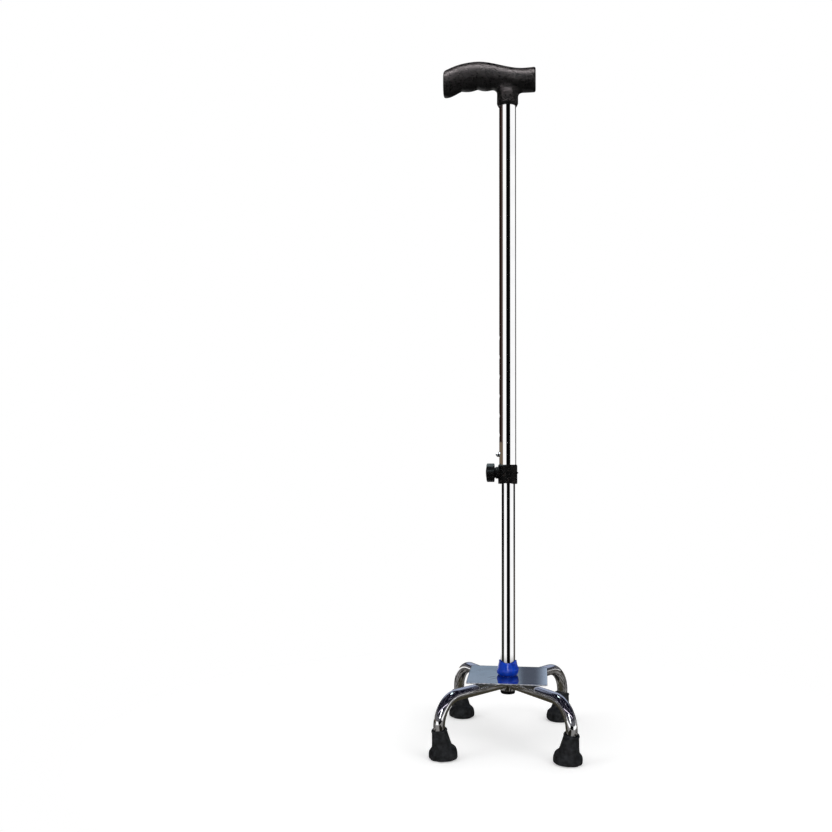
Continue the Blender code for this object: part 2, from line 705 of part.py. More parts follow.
def collar_outline():
    """Outer profile of the collar, with a groove at the clamp screw's height."""
    corner = COLLAR_CORNER
    groove = CLAMP_Z - COLLAR_BOTTOM
    half = COLLAR_GROOVE_WIDTH / 2
    groove_radius = COLLAR_RADIUS - COLLAR_GROOVE_DEPTH
    return [
        (0, 0),
        (COLLAR_RADIUS - corner / 3, 0),
        (COLLAR_RADIUS, corner / 3),
        (COLLAR_RADIUS, groove - 2 * half),
        (groove_radius, groove - half),
        (groove_radius, groove + half),
        (COLLAR_RADIUS, groove + 2 * half),
        (COLLAR_RADIUS, COLLAR_HEIGHT - corner),
        (COLLAR_RADIUS - COLLAR_WALL * 0.25, COLLAR_HEIGHT - corner * 0.35),
        (COLLAR_RADIUS - COLLAR_WALL * 0.7, COLLAR_HEIGHT),
        (0, COLLAR_HEIGHT),
    ]


def collar_hollow():
    """Bore for the upper tube, narrower at the lip that the tube's end stands on."""
    lip_bore = LOWER_RADIUS + FIT_GAP
    over = COLLAR_WALL
    return [
        (0, -over),
        (lip_bore, -over),
        (lip_bore, COLLAR_LIP),
        (COLLAR_BORE, COLLAR_LIP),
        (COLLAR_BORE, COLLAR_HEIGHT + over),
        (0, COLLAR_HEIGHT + over),
    ]


def make_clamp_collar(finishes):
    mesh = turned_mesh("clamp_collar", collar_outline(), SHAFT_FACETS)
    collar = add_piece("clamp_collar", mesh, finishes["black"], (0, 0, COLLAR_BOTTOM))

    face = boss_face()
    edge = BOSS_WALL / 2
    boss_start = COLLAR_BORE + COLLAR_WALL * 0.5
    boss_profile = [(0, boss_start - COLLAR_WALL), (BOSS_RADIUS, boss_start - COLLAR_WALL)]
    boss_profile += [(BOSS_RADIUS, face - edge), (BOSS_RADIUS - edge, face), (0, face)]
    boss = turned_mesh("collar_boss", boss_profile, SHAFT_FACETS, turn=SHAFT_AXIS_X)
    combine(collar, add_helper("collar_boss", boss, (0, 0, CLAMP_Z)), "UNION")

    hollow = turned_mesh("collar_hollow", collar_hollow(), SHAFT_FACETS)
    combine(collar, add_helper("collar_hollow", hollow, (0, 0, COLLAR_BOTTOM)))
    pocket_end = COLLAR_BORE + NUT_THICKNESS + FIT_GAP
    pocket = hexagon_prism("nut_pocket", NUT_ACROSS_FLATS + 2 * FIT_GAP, 0, pocket_end)
    combine(collar, add_helper("nut_pocket", pocket, (0, 0, CLAMP_Z)))
    through = SCREW_RADIUS + 2 * FIT_GAP
    drill(collar, "boss_hole", through, (0, 0, CLAMP_Z), (-face - BOSS_WALL, 0, CLAMP_Z))
    rivet_hole = COLLAR_RIVET_RADIUS + FIT_GAP
    rivet_end = COLLAR_RADIUS + COLLAR_WALL
    drill(collar, "collar_rivet_hole", rivet_hole, (0, 0, CLAMP_Z), (rivet_end, 0, CLAMP_Z))

    rise = COLLAR_ARCH
    radius = (COLLAR_ARCH_SPAN**2 / 4 + rise**2) / (2 * rise)
    reach = 2 * COLLAR_RADIUS
    height = COLLAR_BOTTOM + rise - radius
    drill(collar, "collar_arch", radius, (0, -reach, height), (0, reach, height), 3 * SHAFT_FACETS)
    return collar


def make_collar_rivet(finishes):
    start = UPPER_BORE + FIT_GAP
    end = COLLAR_RADIUS + COLLAR_RIVET_PROUD
    radius = COLLAR_RIVET_RADIUS
    profile = [(0, start), (radius, start)] + arc((0, end - radius), radius, 0, 70, 3) + [(0, end)]
    mesh = turned_mesh("collar_rivet", profile, HOLE_FACETS, turn=SHAFT_AXIS_X.inverted())
    return add_piece("collar_rivet", mesh, finishes["black"], (0, 0, CLAMP_Z))


def make_clamp_nut(finishes):
    mesh = hexagon_prism("clamp_nut", NUT_ACROSS_FLATS, COLLAR_BORE, COLLAR_BORE + NUT_THICKNESS)
    nut = add_piece("clamp_nut", mesh, finishes["steel"], (0, 0, CLAMP_Z))
    end = COLLAR_BORE + 2 * NUT_THICKNESS
    drill(nut, "nut_bore", SCREW_RADIUS + FIT_GAP, (0, 0, CLAMP_Z), (-end, 0, CLAMP_Z))
    return nut


def pad_face():
    return LOWER_RADIUS + FIT_GAP


def make_clamp_pad(finishes):
    """Nylon tip that presses on the lower tube, with a stem in the screw's end."""
    face = pad_face()
    back = face + PAD_THICKNESS
    profile = [
        (0, face),
        (PAD_RADIUS, face),
        (PAD_RADIUS, back),
        (PAD_STEM_RADIUS, back),
        (PAD_STEM_RADIUS, back + PAD_STEM_LENGTH),
        (0, back + PAD_STEM_LENGTH),
    ]
    mesh = turned_mesh("clamp_pad", profile, HOLE_FACETS, turn=SHAFT_AXIS_X)
    return add_piece("clamp_pad", mesh, finishes["nylon"], (0, 0, CLAMP_Z))


def knob_inner_face():
    return boss_face() + FIT_GAP + KNOB_HUB_LENGTH


def screw_head_seat():
    return knob_inner_face() + KNOB_WEB


def make_clamp_screw(finishes):
    """Bolt with a hexagon head that is trapped in the knob."""
    seat = screw_head_seat() + FIT_GAP
    start = pad_face() + PAD_THICKNESS + FIT_GAP
    head = hexagon_prism("clamp_screw", NUT_ACROSS_FLATS, seat, seat + SCREW_HEAD_THICKNESS)
    screw = add_piece("clamp_screw", head, finishes["steel"], (0, 0, CLAMP_Z))
    lead = SCREW_RADIUS * 0.2
    profile = [(0, start), (SCREW_RADIUS - lead, start), (SCREW_RADIUS, start + lead)]
    profile += [(SCREW_RADIUS, seat + SCREW_HEAD_THICKNESS / 2), (0, seat + SCREW_HEAD_THICKNESS / 2)]
    shank = turned_mesh("screw_shank", profile, HOLE_FACETS, turn=SHAFT_AXIS_X)
    combine(screw, add_helper("screw_shank", shank, (0, 0, CLAMP_Z)), "UNION")
    hollow = PAD_STEM_RADIUS + FIT_GAP
    hollow_end = start + PAD_STEM_LENGTH
    drill(screw, "screw_hollow", hollow, (0, 0, CLAMP_Z), (-hollow_end, 0, CLAMP_Z))
    return screw


def knob_outer_face():
    return knob_inner_face() + KNOB_LENGTH


def make_clamp_knob(finishes):
    """Fluted knob. Its outer face is bevelled and holds the cap."""
    inner = knob_inner_face()
    outer = knob_outer_face()
    hub = boss_face() + FIT_GAP
    facets = KNOB_LOBES * 6
    edge = KNOB_CHAMFER_LENGTH * 0.4
    rim = KNOB_RADIUS - KNOB_CHAMFER_WIDTH
    lobe = KNOB_LOBE_DEPTH
    rows = [
        (KNOB_HUB_RADIUS, hub, 0),
        (KNOB_HUB_RADIUS, inner, 0),
        (KNOB_RADIUS - edge - lobe, inner, 0),
        (KNOB_RADIUS, inner + edge, lobe),
        (KNOB_RADIUS, outer - KNOB_CHAMFER_LENGTH, lobe),
        (KNOB_RADIUS - KNOB_CHAMFER_WIDTH * 0.35, outer - KNOB_CHAMFER_LENGTH * 0.4, lobe * 0.6),
        (rim, outer, 0),
    ]
    rings = [circle(r, x, facets, KNOB_LOBES, depth) for r, x, depth in rows]
    mesh = mesh_from_rings("clamp_knob", rings)
    mesh.transform(SHAFT_AXIS_X)
    knob = add_piece("clamp_knob", mesh, finishes["black"], (0, 0, CLAMP_Z))
    seat = screw_head_seat()
    pocket = hexagon_prism("head_pocket", NUT_ACROSS_FLATS + 2 * FIT_GAP, seat, outer + CAP_DOME)
    combine(knob, add_helper("head_pocket", pocket, (0, 0, CLAMP_Z)))
    cap_seat = rim - CAP_RIM_WALL
    cap_start = (-outer + CAP_SEAT_DEPTH, 0, CLAMP_Z)
    cap_end = (-outer - CAP_DOME, 0, CLAMP_Z)
    drill(knob, "cap_seat", cap_seat, cap_start, cap_end, SHAFT_FACETS)
    drill(knob, "knob_bore", SCREW_RADIUS + FIT_GAP, (0, 0, CLAMP_Z), (-seat - BOSS_WALL, 0, CLAMP_Z))
    return knob


def make_knob_cap(finishes):
    outer = knob_outer_face()
    radius = KNOB_RADIUS - KNOB_CHAMFER_WIDTH - CAP_RIM_WALL - FIT_GAP
    start = outer - CAP_SEAT_DEPTH + FIT_GAP
    profile = [(0, start), (radius, start), (radius, outer)]
    sphere = (radius**2 + CAP_DOME**2) / (2 * CAP_DOME)
    for step in range(1, 4):
        reach = radius * (1 - step / 4)
        profile.append((reach, outer + CAP_DOME - sphere + sqrt(sphere**2 - reach**2)))
    profile.append((0, outer + CAP_DOME))
    mesh = turned_mesh("knob_cap", profile, SHAFT_FACETS, turn=SHAFT_AXIS_X)
    return add_piece("knob_cap", mesh, finishes["black"], (0, 0, CLAMP_Z))


# Handle


def grip_top(x):
    """Height of the grip's top line above the neck's rim."""
    crown = (-CROWN_REACH, CROWN_TOP)
    saddle = (SADDLE_REACH, SADDLE_TOP)
    if x < -CROWN_REACH:
        return hermite(x, (-NOSE_REACH, NOSE_TOP), crown, NOSE_TOP_SLOPE, 0)
    if x < SADDLE_REACH:
        return hermite(x, crown, saddle, 0, 0)
    return hermite(x, saddle, (HEEL_REACH, HEEL_TOP), 0, HEEL_TOP_SLOPE)


def grip_bottom(x):
    """Height of the grip's underside, with two finger swells between their valleys."""
    valleys = [(-reach, height) for reach, height in zip(SWELL_REACHES, SWELL_BOTTOMS)]
    if x < -TIP_REACH:
        return TIP_BOTTOM
    if x < valleys[0][0]:
        return hermite(x, (-TIP_REACH, TIP_BOTTOM), valleys[0], 0.05, NOSE_UNDER_SLOPE)
    for start, end in zip(valleys, valleys[1:]):
        if x < end[0]:
            t = (x - start[0]) / (end[0] - start[0])
            return start[1] + (end[1] - start[1]) * t - SWELL_DEPTH * sin(pi * t)
    if x < NECK_RADIUS:
        return hermite(x, valleys[-1], (NECK_RADIUS, HEEL_BOTTOM), 0, 0)
    return HEEL_BOTTOM


def grip_half_width(x):
    if x < 0:
        return GRIP_HALF_WIDTH - (GRIP_HALF_WIDTH - NOSE_HALF_WIDTH) * (x / NOSE_REACH) ** 2
    return GRIP_HALF_WIDTH - (GRIP_HALF_WIDTH - HEEL_HALF_WIDTH) * (x / HEEL_REACH) ** 2


def signed_power(value, power):
    return abs(value) ** power * (1 if value >= 0 else -1)


def underside_squareness(x):
    over_neck = max(0.0, 1 - (x / (NECK_RADIUS + 2 * NECK_FILLET)) ** 2)
    return GRIP_SQUARENESS + (NECK_SQUARENESS - GRIP_SQUARENESS) * over_neck


def grip_section(x, inset):
    top = grip_top(x) - inset
    bottom = grip_bottom(x) + inset
    half_width = grip_half_width(x) - inset
    ring = []
    for step in range(GRIP_FACETS):
        angle = 2 * pi * (step + 0.5) / GRIP_FACETS
        power = 2 / (GRIP_SQUARENESS if angle < pi else underside_squareness(x))
        y = half_width * signed_power(cos(angle), power)
        z = (top + bottom) / 2 + (top - bottom) / 2 * signed_power(sin(angle), power)
        ring.append(Vector((x, y, z)))
    return ring


def grip_stations():
    """Places along the grip where a section is drawn, and how far each is drawn in at the ends."""
    end = GRIP_END_ROUND
    rounding = ((0.0, 1.0), (0.08, 0.60), (0.30, 0.29), (0.65, 0.06), (1.0, 0.0))
    stations = [(-NOSE_REACH + end * along, end * inset) for along, inset in rounding]
    valleys = [-reach for reach in SWELL_REACHES]
    nose_start = -NOSE_REACH + end
    for start, stop, count in (
        (nose_start, valleys[0], 5),
        (valleys[0], valleys[1], 6),
        (valleys[1], valleys[2], 6),
        (valleys[2], HEEL_REACH - end, 9),
    ):
        for step in range(1, count + 1):
            stations.append((start + (stop - start) * step / count, 0.0))
    stations.pop()
    stations += [(HEEL_REACH - end * along, end * inset) for along, inset in rounding[::-1]]
    return stations


def neck_mesh():
    """Round neck that spreads along the grip with a fillet and dies out inside it."""
    radius = NECK_RADIUS
    straight = NECK_LENGTH - NECK_FILLET
    rise = SWELL_BOTTOMS[-1] - HEEL_BOTTOM
    # Each row is the height, the radius, the spread along the grip and the share of the rise
    rows = [
        (0, radius - NECK_CHAMFER * 0.5, 0, 0),
        (NECK_CHAMFER * 0.35, radius - NECK_CHAMFER * 0.22, 0, 0),
        (NECK_CHAMFER, radius, 0, 0),
        (straight, radius, 0, 1),
    ]
    for step in range(1, 5):
        angle = radians(90 * step / 5)
        spread = NECK_FILLET * (1 - cos(angle))
        rows.append((straight + NECK_FILLET * sin(angle), radius, spread, 1))
    for depth, narrow, spread in NECK_TAIL:
        rows.append((HANDLE_SOCKET_DEPTH * depth, radius * narrow, radius * spread, 0))
    rings = []
    for height, reach, spread, share in rows:
        ring = circle(reach, height, SHAFT_FACETS)
        for point in ring:
            point.z += share * rise * (1 - point.x / reach) / 2
            point.x *= (reach + spread) / reach
            point.y *= 1 - NECK_NARROWING * max(0.0, spread) / NECK_FILLET
        rings.append(ring)
    return mesh_from_rings("neck_form", rings)


def make_handle_grip(finishes):
    rings = [grip_section(x, inset) for x, inset in grip_stations()]
    mesh = mesh_from_rings("handle_grip", rings)
    handle = add_piece("handle_grip", mesh, finishes["grip"], (0, 0, NECK_RIM))
    combine(handle, add_helper("neck_form", neck_mesh(), (0, 0, NECK_RIM)), "UNION")
    bottom = (0, 0, NECK_RIM - NECK_WALL)
    top = (0, 0, NECK_RIM + HANDLE_SOCKET_DEPTH)
    drill(handle, "handle_bore", HANDLE_BORE, bottom, top, SHAFT_FACETS)
    height = NECK_RIM + SCREW_ABOVE_NECK_RIM
    hole = HANDLE_SCREW_RADIUS + FIT_GAP
    drill(handle, "handle_screw_hole", hole, (0, 0, height), (0, NECK_RADIUS + NECK_WALL, height))
    return handle


def make_handle_screw(finishes):
    """Small pan-head screw at the back of the neck, into the upper tube."""
    tip = UPPER_BORE - HANDLE_SCREW_REACH
    seat = NECK_RADIUS + FIT_GAP
    top = seat + HANDLE_SCREW_HEAD
    edge = HANDLE_SCREW_HEAD * 0.4
    radius = HANDLE_SCREW_RADIUS
    head = HANDLE_SCREW_HEAD_RADIUS
    profile = [(0, tip), (radius * 0.5, tip), (radius, tip + radius * 0.6), (radius, seat)]
    profile += [(head, seat), (head, top - edge), (head - edge, top), (0, top)]
    mesh = turned_mesh("handle_screw", profile, HOLE_FACETS, turn=SHAFT_AXIS_Y)
    place = (0, 0, NECK_RIM + SCREW_ABOVE_NECK_RIM)
    screw = add_piece("handle_screw", mesh, finishes["steel"], place)
    slot_length = 1.2 * head
    deep = 2 * SCREW_RECESS_DEPTH
    slot_place = (0, top, place[2])
    for name, width, height in (
        ("recess_flat", slot_length, SCREW_RECESS_WIDTH),
        ("recess_upright", SCREW_RECESS_WIDTH, slot_length),
    ):
        combine(screw, add_helper(name, box_mesh(name, width, deep, height), slot_place))
    return screw


# Assembly


def gather(name, point, pieces):
    """Puts pieces that move together under one empty on their joint."""
    carrier = bpy.data.objects.new(name, None)
    bpy.context.scene.collection.objects.link(carrier)
    carrier.location = point
    for piece in pieces:
        members = [piece] + [m.object for m in piece.modifiers if m.type == "BOOLEAN"]
        for member in members:
            member.parent = carrier
            member.matrix_parent_inverse = Matrix.Translation(-Vector(point))


def build():
    clear_scene()
    finishes = make_finishes()
    base = [
        make_base_plate(finishes),
        make_base_socket(finishes),
        make_base_pin(finishes),
        make_base_sleeve(finishes),
        make_base_plug(finishes),
        make_lower_tube(finishes),
        make_guide_bush(finishes),
        make_button_spring(finishes),
    ]
    base += make_legs(finishes) + make_feet(finishes)
    upper = [
        make_handle_grip(finishes),
        make_handle_screw(finishes),
        make_upper_tube(finishes),
        make_clamp_collar(finishes),
        make_collar_rivet(finishes),
        make_clamp_nut(finishes),
    ]
    knob = [make_clamp_knob(finishes), make_knob_cap(finishes), make_clamp_screw(finishes)]
    gather("base_carrier", (0, 0, 0), base)
    gather("upper_carrier", (0, 0, UPPER_END), upper)
    gather("button_carrier", (0, 0, BUTTON_Z), [make_snap_button(finishes)])
    gather("pad_carrier", (0, 0, CLAMP_Z), [make_clamp_pad(finishes)])
    gather("knob_carrier", (0, 0, CLAMP_Z), knob)
    adjusting = (HOLE_COUNT - 1) * HOLE_PITCH
    print("height slide %.4f m, button travel %.4f m" % (adjusting, button_travel()))


build()
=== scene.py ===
from math import asin, atan2, cos, hypot, pi, radians, sin, sqrt, tan

import bmesh
import bpy
from mathutils import Matrix, Vector


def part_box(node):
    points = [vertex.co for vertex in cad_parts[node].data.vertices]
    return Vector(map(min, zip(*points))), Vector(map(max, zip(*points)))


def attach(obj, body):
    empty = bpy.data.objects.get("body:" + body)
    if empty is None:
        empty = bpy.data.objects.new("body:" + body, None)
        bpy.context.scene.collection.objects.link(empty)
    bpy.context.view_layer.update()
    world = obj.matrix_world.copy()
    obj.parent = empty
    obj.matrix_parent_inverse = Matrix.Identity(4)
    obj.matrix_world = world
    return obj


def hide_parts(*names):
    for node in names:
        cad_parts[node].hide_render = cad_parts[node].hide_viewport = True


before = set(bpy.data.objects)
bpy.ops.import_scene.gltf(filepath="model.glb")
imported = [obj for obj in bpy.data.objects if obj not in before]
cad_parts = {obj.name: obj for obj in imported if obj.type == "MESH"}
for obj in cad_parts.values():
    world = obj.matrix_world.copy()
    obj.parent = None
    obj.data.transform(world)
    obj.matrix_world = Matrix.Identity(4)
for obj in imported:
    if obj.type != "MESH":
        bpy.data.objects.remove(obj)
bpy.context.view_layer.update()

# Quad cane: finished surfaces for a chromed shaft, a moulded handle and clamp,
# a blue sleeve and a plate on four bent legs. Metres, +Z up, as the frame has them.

mm = 0.001
scene = bpy.context.scene
toMinusX = Matrix.Rotation(-pi / 2, 4, "Y")     # turns a piece's axis from +Z to -X
toPlusX = Matrix.Rotation(pi / 2, 4, "Y")
toPlusY = Matrix.Rotation(-pi / 2, 4, "X")

print("frame loaded with", len(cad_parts), "nodes")


# Mesh helpers

def addObject(name, data):
    piece = bpy.data.objects.new(name, data)
    scene.collection.objects.link(piece)
    return piece


def meshFrom(name, work):
    mesh = bpy.data.meshes.new(name)
    work.to_mesh(mesh)
    work.free()
    return mesh


def shade(piece, sharp=40):
    piece.data.shade_smooth()
    piece.data.set_sharp_from_angle(angle=radians(sharp))
    return piece


def solidFrom(name, work, sharp=40):
    bmesh.ops.recalc_face_normals(work, faces=work.faces)
    return shade(addObject(name, meshFrom(name, work)), sharp)


def joinRows(work, low, high):
    # a band of faces between two closed rows; a row of one point is a pole
    count = max(len(low), len(high))
    for i in range(count):
        j = (i + 1) % count
        corners = [low[i % len(low)], low[j % len(low)], high[j % len(high)], high[i % len(high)]]
        work.faces.new(list(dict.fromkeys(corners)))


def skinned(name, rings, closed=False, sharp=40):
    # joins each ring to the next; closed joins the last to the first as well
    work = bmesh.new()
    rows = [[work.verts.new(p) for p in ring] for ring in rings]
    for low, high in zip(rows, rows[1:]):
        joinRows(work, low, high)
    if closed:
        joinRows(work, rows[-1], rows[0])
    else:
        for row in (rows[0], rows[-1]):
            if len(row) > 2:
                work.faces.new(row)
    return solidFrom(name, work, sharp)


def ringAt(radius, height, steps):
    if radius < 1e-7:
        return [Vector((0, 0, height))]
    return [
        Vector((radius * cos(2 * pi * i / steps), radius * sin(2 * pi * i / steps), height))
        for i in range(steps)
    ]


def turned(name, outline, steps=96, closed=False, turn=None, height=0, sharp=40):
    # outline is a row of (radius, place on the axis); height is the axis's own
    piece = skinned(name, [ringAt(r, z, steps) for r, z in outline], closed, sharp)
    place = Matrix.Translation((0, 0, height))
    piece.data.transform(place @ turn if turn else place)
    return piece


def rod(radius, start, end):
    # the outline of a plain cylinder
    return [(0, start), (radius, start), (radius, end), (0, end)]


def domed(radius, tip, stride):
    # an outline's last stretch: a half ball that ends at the tip
    line = [(radius * cos(radians(a)), tip - radius + radius * sin(radians(a))) for a in range(0, 90, stride)]
    return line + [(0, tip)]


def softened(corners, radius, steps=3, closed=False):
    # rounds the corners of an outline; radius is one value or one for each corner
    line = []
    last = len(corners) - 1
    for i, corner in enumerate(corners):
        here = Vector(corner)
        wanted = radius[i] if isinstance(radius, (list, tuple)) else radius
        if wanted == 0 or (not closed and i in (0, last)):
            line.append(tuple(here))
            continue
        back = Vector(corners[i - 1]) - here
        ahead = Vector(corners[(i + 1) % len(corners)]) - here
        angle = back.angle(ahead)
        reach = min(wanted / tan(angle / 2), back.length * 0.48, ahead.length * 0.48)
        start = here + back.normalized() * reach
        end = here + ahead.normalized() * reach
        for s in range(steps + 1):
            t = s / steps
            line.append(tuple(start * (1 - t) ** 2 + here * 2 * t * (1 - t) + end * t**2))
    return line


def smoothPath(points, steps):
    # Catmull-Rom curve through points of any dimension
    ends = [points[0]] + list(points) + [points[-1]]
    line = []
    for a, b, c, d in zip(ends, ends[1:], ends[2:], ends[3:]):
        for s in range(steps):
            t = s / steps
            line.append(tuple(
                0.5 * (2 * q + (r - p) * t + (2 * p - 5 * q + 4 * r - u) * t**2
                       + (3 * q - p - 3 * r + u) * t**3)
                for p, q, r, u in zip(a, b, c, d)
            ))
    line.append(tuple(points[-1]))
    return line


def midHeight(node):
    return sum(corner.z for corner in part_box(node)) / 2


def applied(piece):
    # writes the piece's modifiers into its mesh
    graph = bpy.context.evaluated_depsgraph_get()
    mesh = bpy.data.meshes.new_from_object(piece.evaluated_get(graph))
    piece.modifiers.clear()
    piece.data = mesh
    return piece


def combine(piece, tool, operation="DIFFERENCE"):
    step = piece.modifiers.new("join", "BOOLEAN")
    step.operation = operation
    step.object = tool
    step.solver = "EXACT"
    applied(piece)
    bpy.data.objects.remove(tool, do_unlink=True)


def drill(piece, radius, start, end, steps, turn, height):
    combine(piece, turned("drill", rod(radius, start, end), steps, turn=turn, height=height))


def easeStep(piece, rounds):
    ease = piece.modifiers.new("ease", "SMOOTH")
    ease.factor = 0.5
    ease.iterations = rounds
    return ease


def remeshed(piece, size, rounds):
    step = piece.modifiers.new("remesh", "REMESH")
    step.mode = "VOXEL"
    step.voxel_size = size
    step.use_smooth_shade = True
    easeStep(piece, rounds)
    return applied(piece)


def dress(piece, finish, body, nodes):
    piece.data.materials.clear()
    piece.data.materials.append(finish)
    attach(piece, body)
    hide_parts(*nodes)


# Finishes

class NodeSet:
    # the nodes of a material or of the room; place is where the colours are worked out
    easing = "LINEAR"

    def __init__(self, owner):
        owner.use_nodes = True
        self.tree = owner.node_tree

    def add(self, kind, **settings):
        made = self.tree.nodes.new(kind)
        for name, value in settings.items():
            setattr(made, name, value)
        return made

    def link(self, output, target):
        self.tree.links.new(output, target)

    def worked(self, kind, operation, *values):
        # a math node of its own kind; values are outputs or fixed vectors
        made = self.add(kind, operation=operation)
        for socket, value in zip(made.inputs, values):
            if isinstance(value, tuple):
                socket.default_value = value
            else:
                self.link(value, socket)
        return made.outputs

    def product(self, a, b):
        return self.worked("ShaderNodeMath", "MULTIPLY", a, b)["Value"]

    def split(self, vector):
        made = self.add("ShaderNodeSeparateXYZ")
        self.link(vector, made.inputs["Vector"])
        return made.outputs

    def axis(self, name):
        return self.split(self.place)[name]

    def distance(self):
        return self.worked("ShaderNodeVectorMath", "LENGTH", self.place)["Value"]

    def ranged(self, value, start, end, low=0, high=1):
        # low at start, high at end
        made = self.add("ShaderNodeMapRange", interpolation_type=self.easing)
        for name, number in zip(("From Min", "From Max", "To Min", "To Max"), (start, end, low, high)):
            made.inputs[name].default_value = number
        self.link(value, made.inputs["Value"])
        return made.outputs["Result"]

    def window(self, value, ends, soft):
        # 1 between the ends, 0 beyond their soft edges
        return self.product(self.ranged(value, ends[0] - soft, ends[0]),
                            self.ranged(value, ends[1] + soft, ends[1]))

    def noise(self, scale, detail, stretch=None, turn=0):
        # scale counts features along a metre; turn is about Z, in degrees
        place = self.place
        if stretch:
            moved = self.add("ShaderNodeMapping")
            moved.inputs["Scale"].default_value = stretch
            moved.inputs["Rotation"].default_value = (0, 0, radians(turn))
            self.link(place, moved.inputs["Vector"])
            place = moved.outputs["Vector"]
        made = self.add("ShaderNodeTexNoise")
        made.inputs["Scale"].default_value = scale
        made.inputs["Detail"].default_value = detail
        self.link(place, made.inputs["Vector"])
        return made.outputs["Fac"]

    def patches(self, scale, detail, start, end, low=0, high=1):
        return self.ranged(self.noise(scale, detail), start, end, low, high)

    def blended(self, share, low, high):
        # low and high are colours or the outputs of earlier mixes
        made = self.add("ShaderNodeMix", data_type="RGBA")
        for name, colour in (("A", low), ("B", high)):
            if isinstance(colour, tuple):
                made.inputs[name].default_value = (*colour, 1)
            else:
                self.link(colour, made.inputs[name])
        self.link(share, made.inputs["Factor"])
        return made.outputs["Result"]

    def mixed(self, share, first, second):
        made = self.add("ShaderNodeMixShader")
        for socket, value in zip(made.inputs, (share, first, second)):
            self.link(value, socket)
        return made.outputs["Shader"]


class Finish(NodeSet):
    def __init__(self, name, colour, roughness, metallic=0.0, specular=0.5):
        self.material = bpy.data.materials.new(name)
        super().__init__(self.material)
        self.shader = self.tree.nodes["Principled BSDF"]
        self.shader.inputs["Base Color"].default_value = (*colour, 1)
        self.shader.inputs["Roughness"].default_value = roughness
        self.shader.inputs["Metallic"].default_value = metallic
        self.shader.inputs["Specular IOR Level"].default_value = specular
        self.place = self.add("ShaderNodeTexCoord").outputs["Object"]

    def tint(self, share, low, high):
        self.link(self.blended(share, low, high), self.shader.inputs["Base Color"])

    def shine(self, value):
        self.link(value, self.shader.inputs["Roughness"])

    def stroke(self, middle, turn, long, wide):
        # 1 along a short line that lies in X and Y, 0 around it
        placed = self.add("ShaderNodeMapping", vector_type="TEXTURE")
        placed.inputs["Location"].default_value = (*middle, 0)
        placed.inputs["Rotation"].default_value = (0, 0, radians(turn))
        self.link(self.place, placed.inputs["Vector"])
        parts = self.split(placed.outputs["Vector"])
        full, edge = 0.3, 0.7       # shares of the stroke that are solid and soft
        return self.product(self.window(parts["X"], (-full * long, full * long), edge * long),
                            self.window(parts["Y"], (-full * wide, full * wide), edge * wide))

    def bump(self, height, strength, distance):
        # each one adds to the bumps before it
        made = self.add("ShaderNodeBump")
        made.inputs["Strength"].default_value = strength
        made.inputs["Distance"].default_value = distance
        self.link(height, made.inputs["Height"])
        if self.shader.inputs["Normal"].is_linked:
            self.link(self.shader.inputs["Normal"].links[0].from_socket, made.inputs["Normal"])
        self.link(made.outputs["Normal"], self.shader.inputs["Normal"])


# In each look, patches and gloss are a noise's scale and detail and the ends of the range
# that turns base to patch, or low to high roughness; a grain is scale, detail, strength and depth.
# flat is the colour and roughness that the surface has without its noises

chromeLook = {
    "base": (0.970, 0.970, 0.975),
    "patch": (0.915, 0.915, 0.925),
    "patches": (38, 4, 0.45, 0.75),
    "gloss": (150, 4, 0.35, 0.80),
    "rippleDepth": 0.1 * mm,
}


def makeChrome(name, roughness, ripple, share=1.0):
    # bright plate with faint smudges; ripple is its scale, its stretch along Z and its strength,
    # and share is how much of its brightness it keeps: below 1 it paints shade into the colour
    base, patch = (tuple(share * part for part in chromeLook[tone]) for tone in ("base", "patch"))
    look = Finish(name, base, roughness[0], metallic=1.0)
    look.tint(look.patches(*chromeLook["patches"]), base, patch)
    look.shine(look.patches(*chromeLook["gloss"], *roughness))
    scale, stretch, strength = ripple
    look.bump(look.noise(scale, 2, (1, 1, stretch)), strength, chromeLook["rippleDepth"])
    return look.material


plateLook = {
    "flat": ((0.62, 0.65, 0.70), 0.08),
    "base": (0.62, 0.65, 0.70),
    "patch": (0.52, 0.55, 0.60),
    "patches": (24, 5, 0.38, 0.70),
    "gloss": (60, 5, 0.35, 0.75),
    "roughness": (0.03, 0.10),
    # fine scratches: how each set is turned, its noise, stretched across, its range and its bump
    "scratchTurns": (12, -31, 74),
    "scratches": (18, 2, (1, 60, 1)),
    "scratchEdge": (0.66, 0.70),
    "scratchBump": (0.04, 0.01 * mm),
    # two deeper ones before the sleeve: middle, turn, half length and half width
    "marks": (
        ((-20.0 * mm, -15.0 * mm), 38, 8.0 * mm, 1.5 * mm),
        ((-17.0 * mm, -24.0 * mm), 48, 9.0 * mm, 1.2 * mm),
    ),
    "markTone": (0.20, 0.20, 0.22),
}


def makePlateSteel():
    look = Finish("polished plate", *plateLook["flat"], metallic=1.0)
    tone = look.blended(look.patches(*plateLook["patches"]), plateLook["base"], plateLook["patch"])
    for mark in plateLook["marks"]:
        tone = look.blended(look.stroke(*mark), tone, plateLook["markTone"])
    look.link(tone, look.shader.inputs["Base Color"])
    look.shine(look.patches(*plateLook["gloss"], *plateLook["roughness"]))
    for turn in plateLook["scratchTurns"]:
        lines = look.noise(*plateLook["scratches"], turn)
        look.bump(look.ranged(lines, *plateLook["scratchEdge"]), *plateLook["scratchBump"])
    return look.material


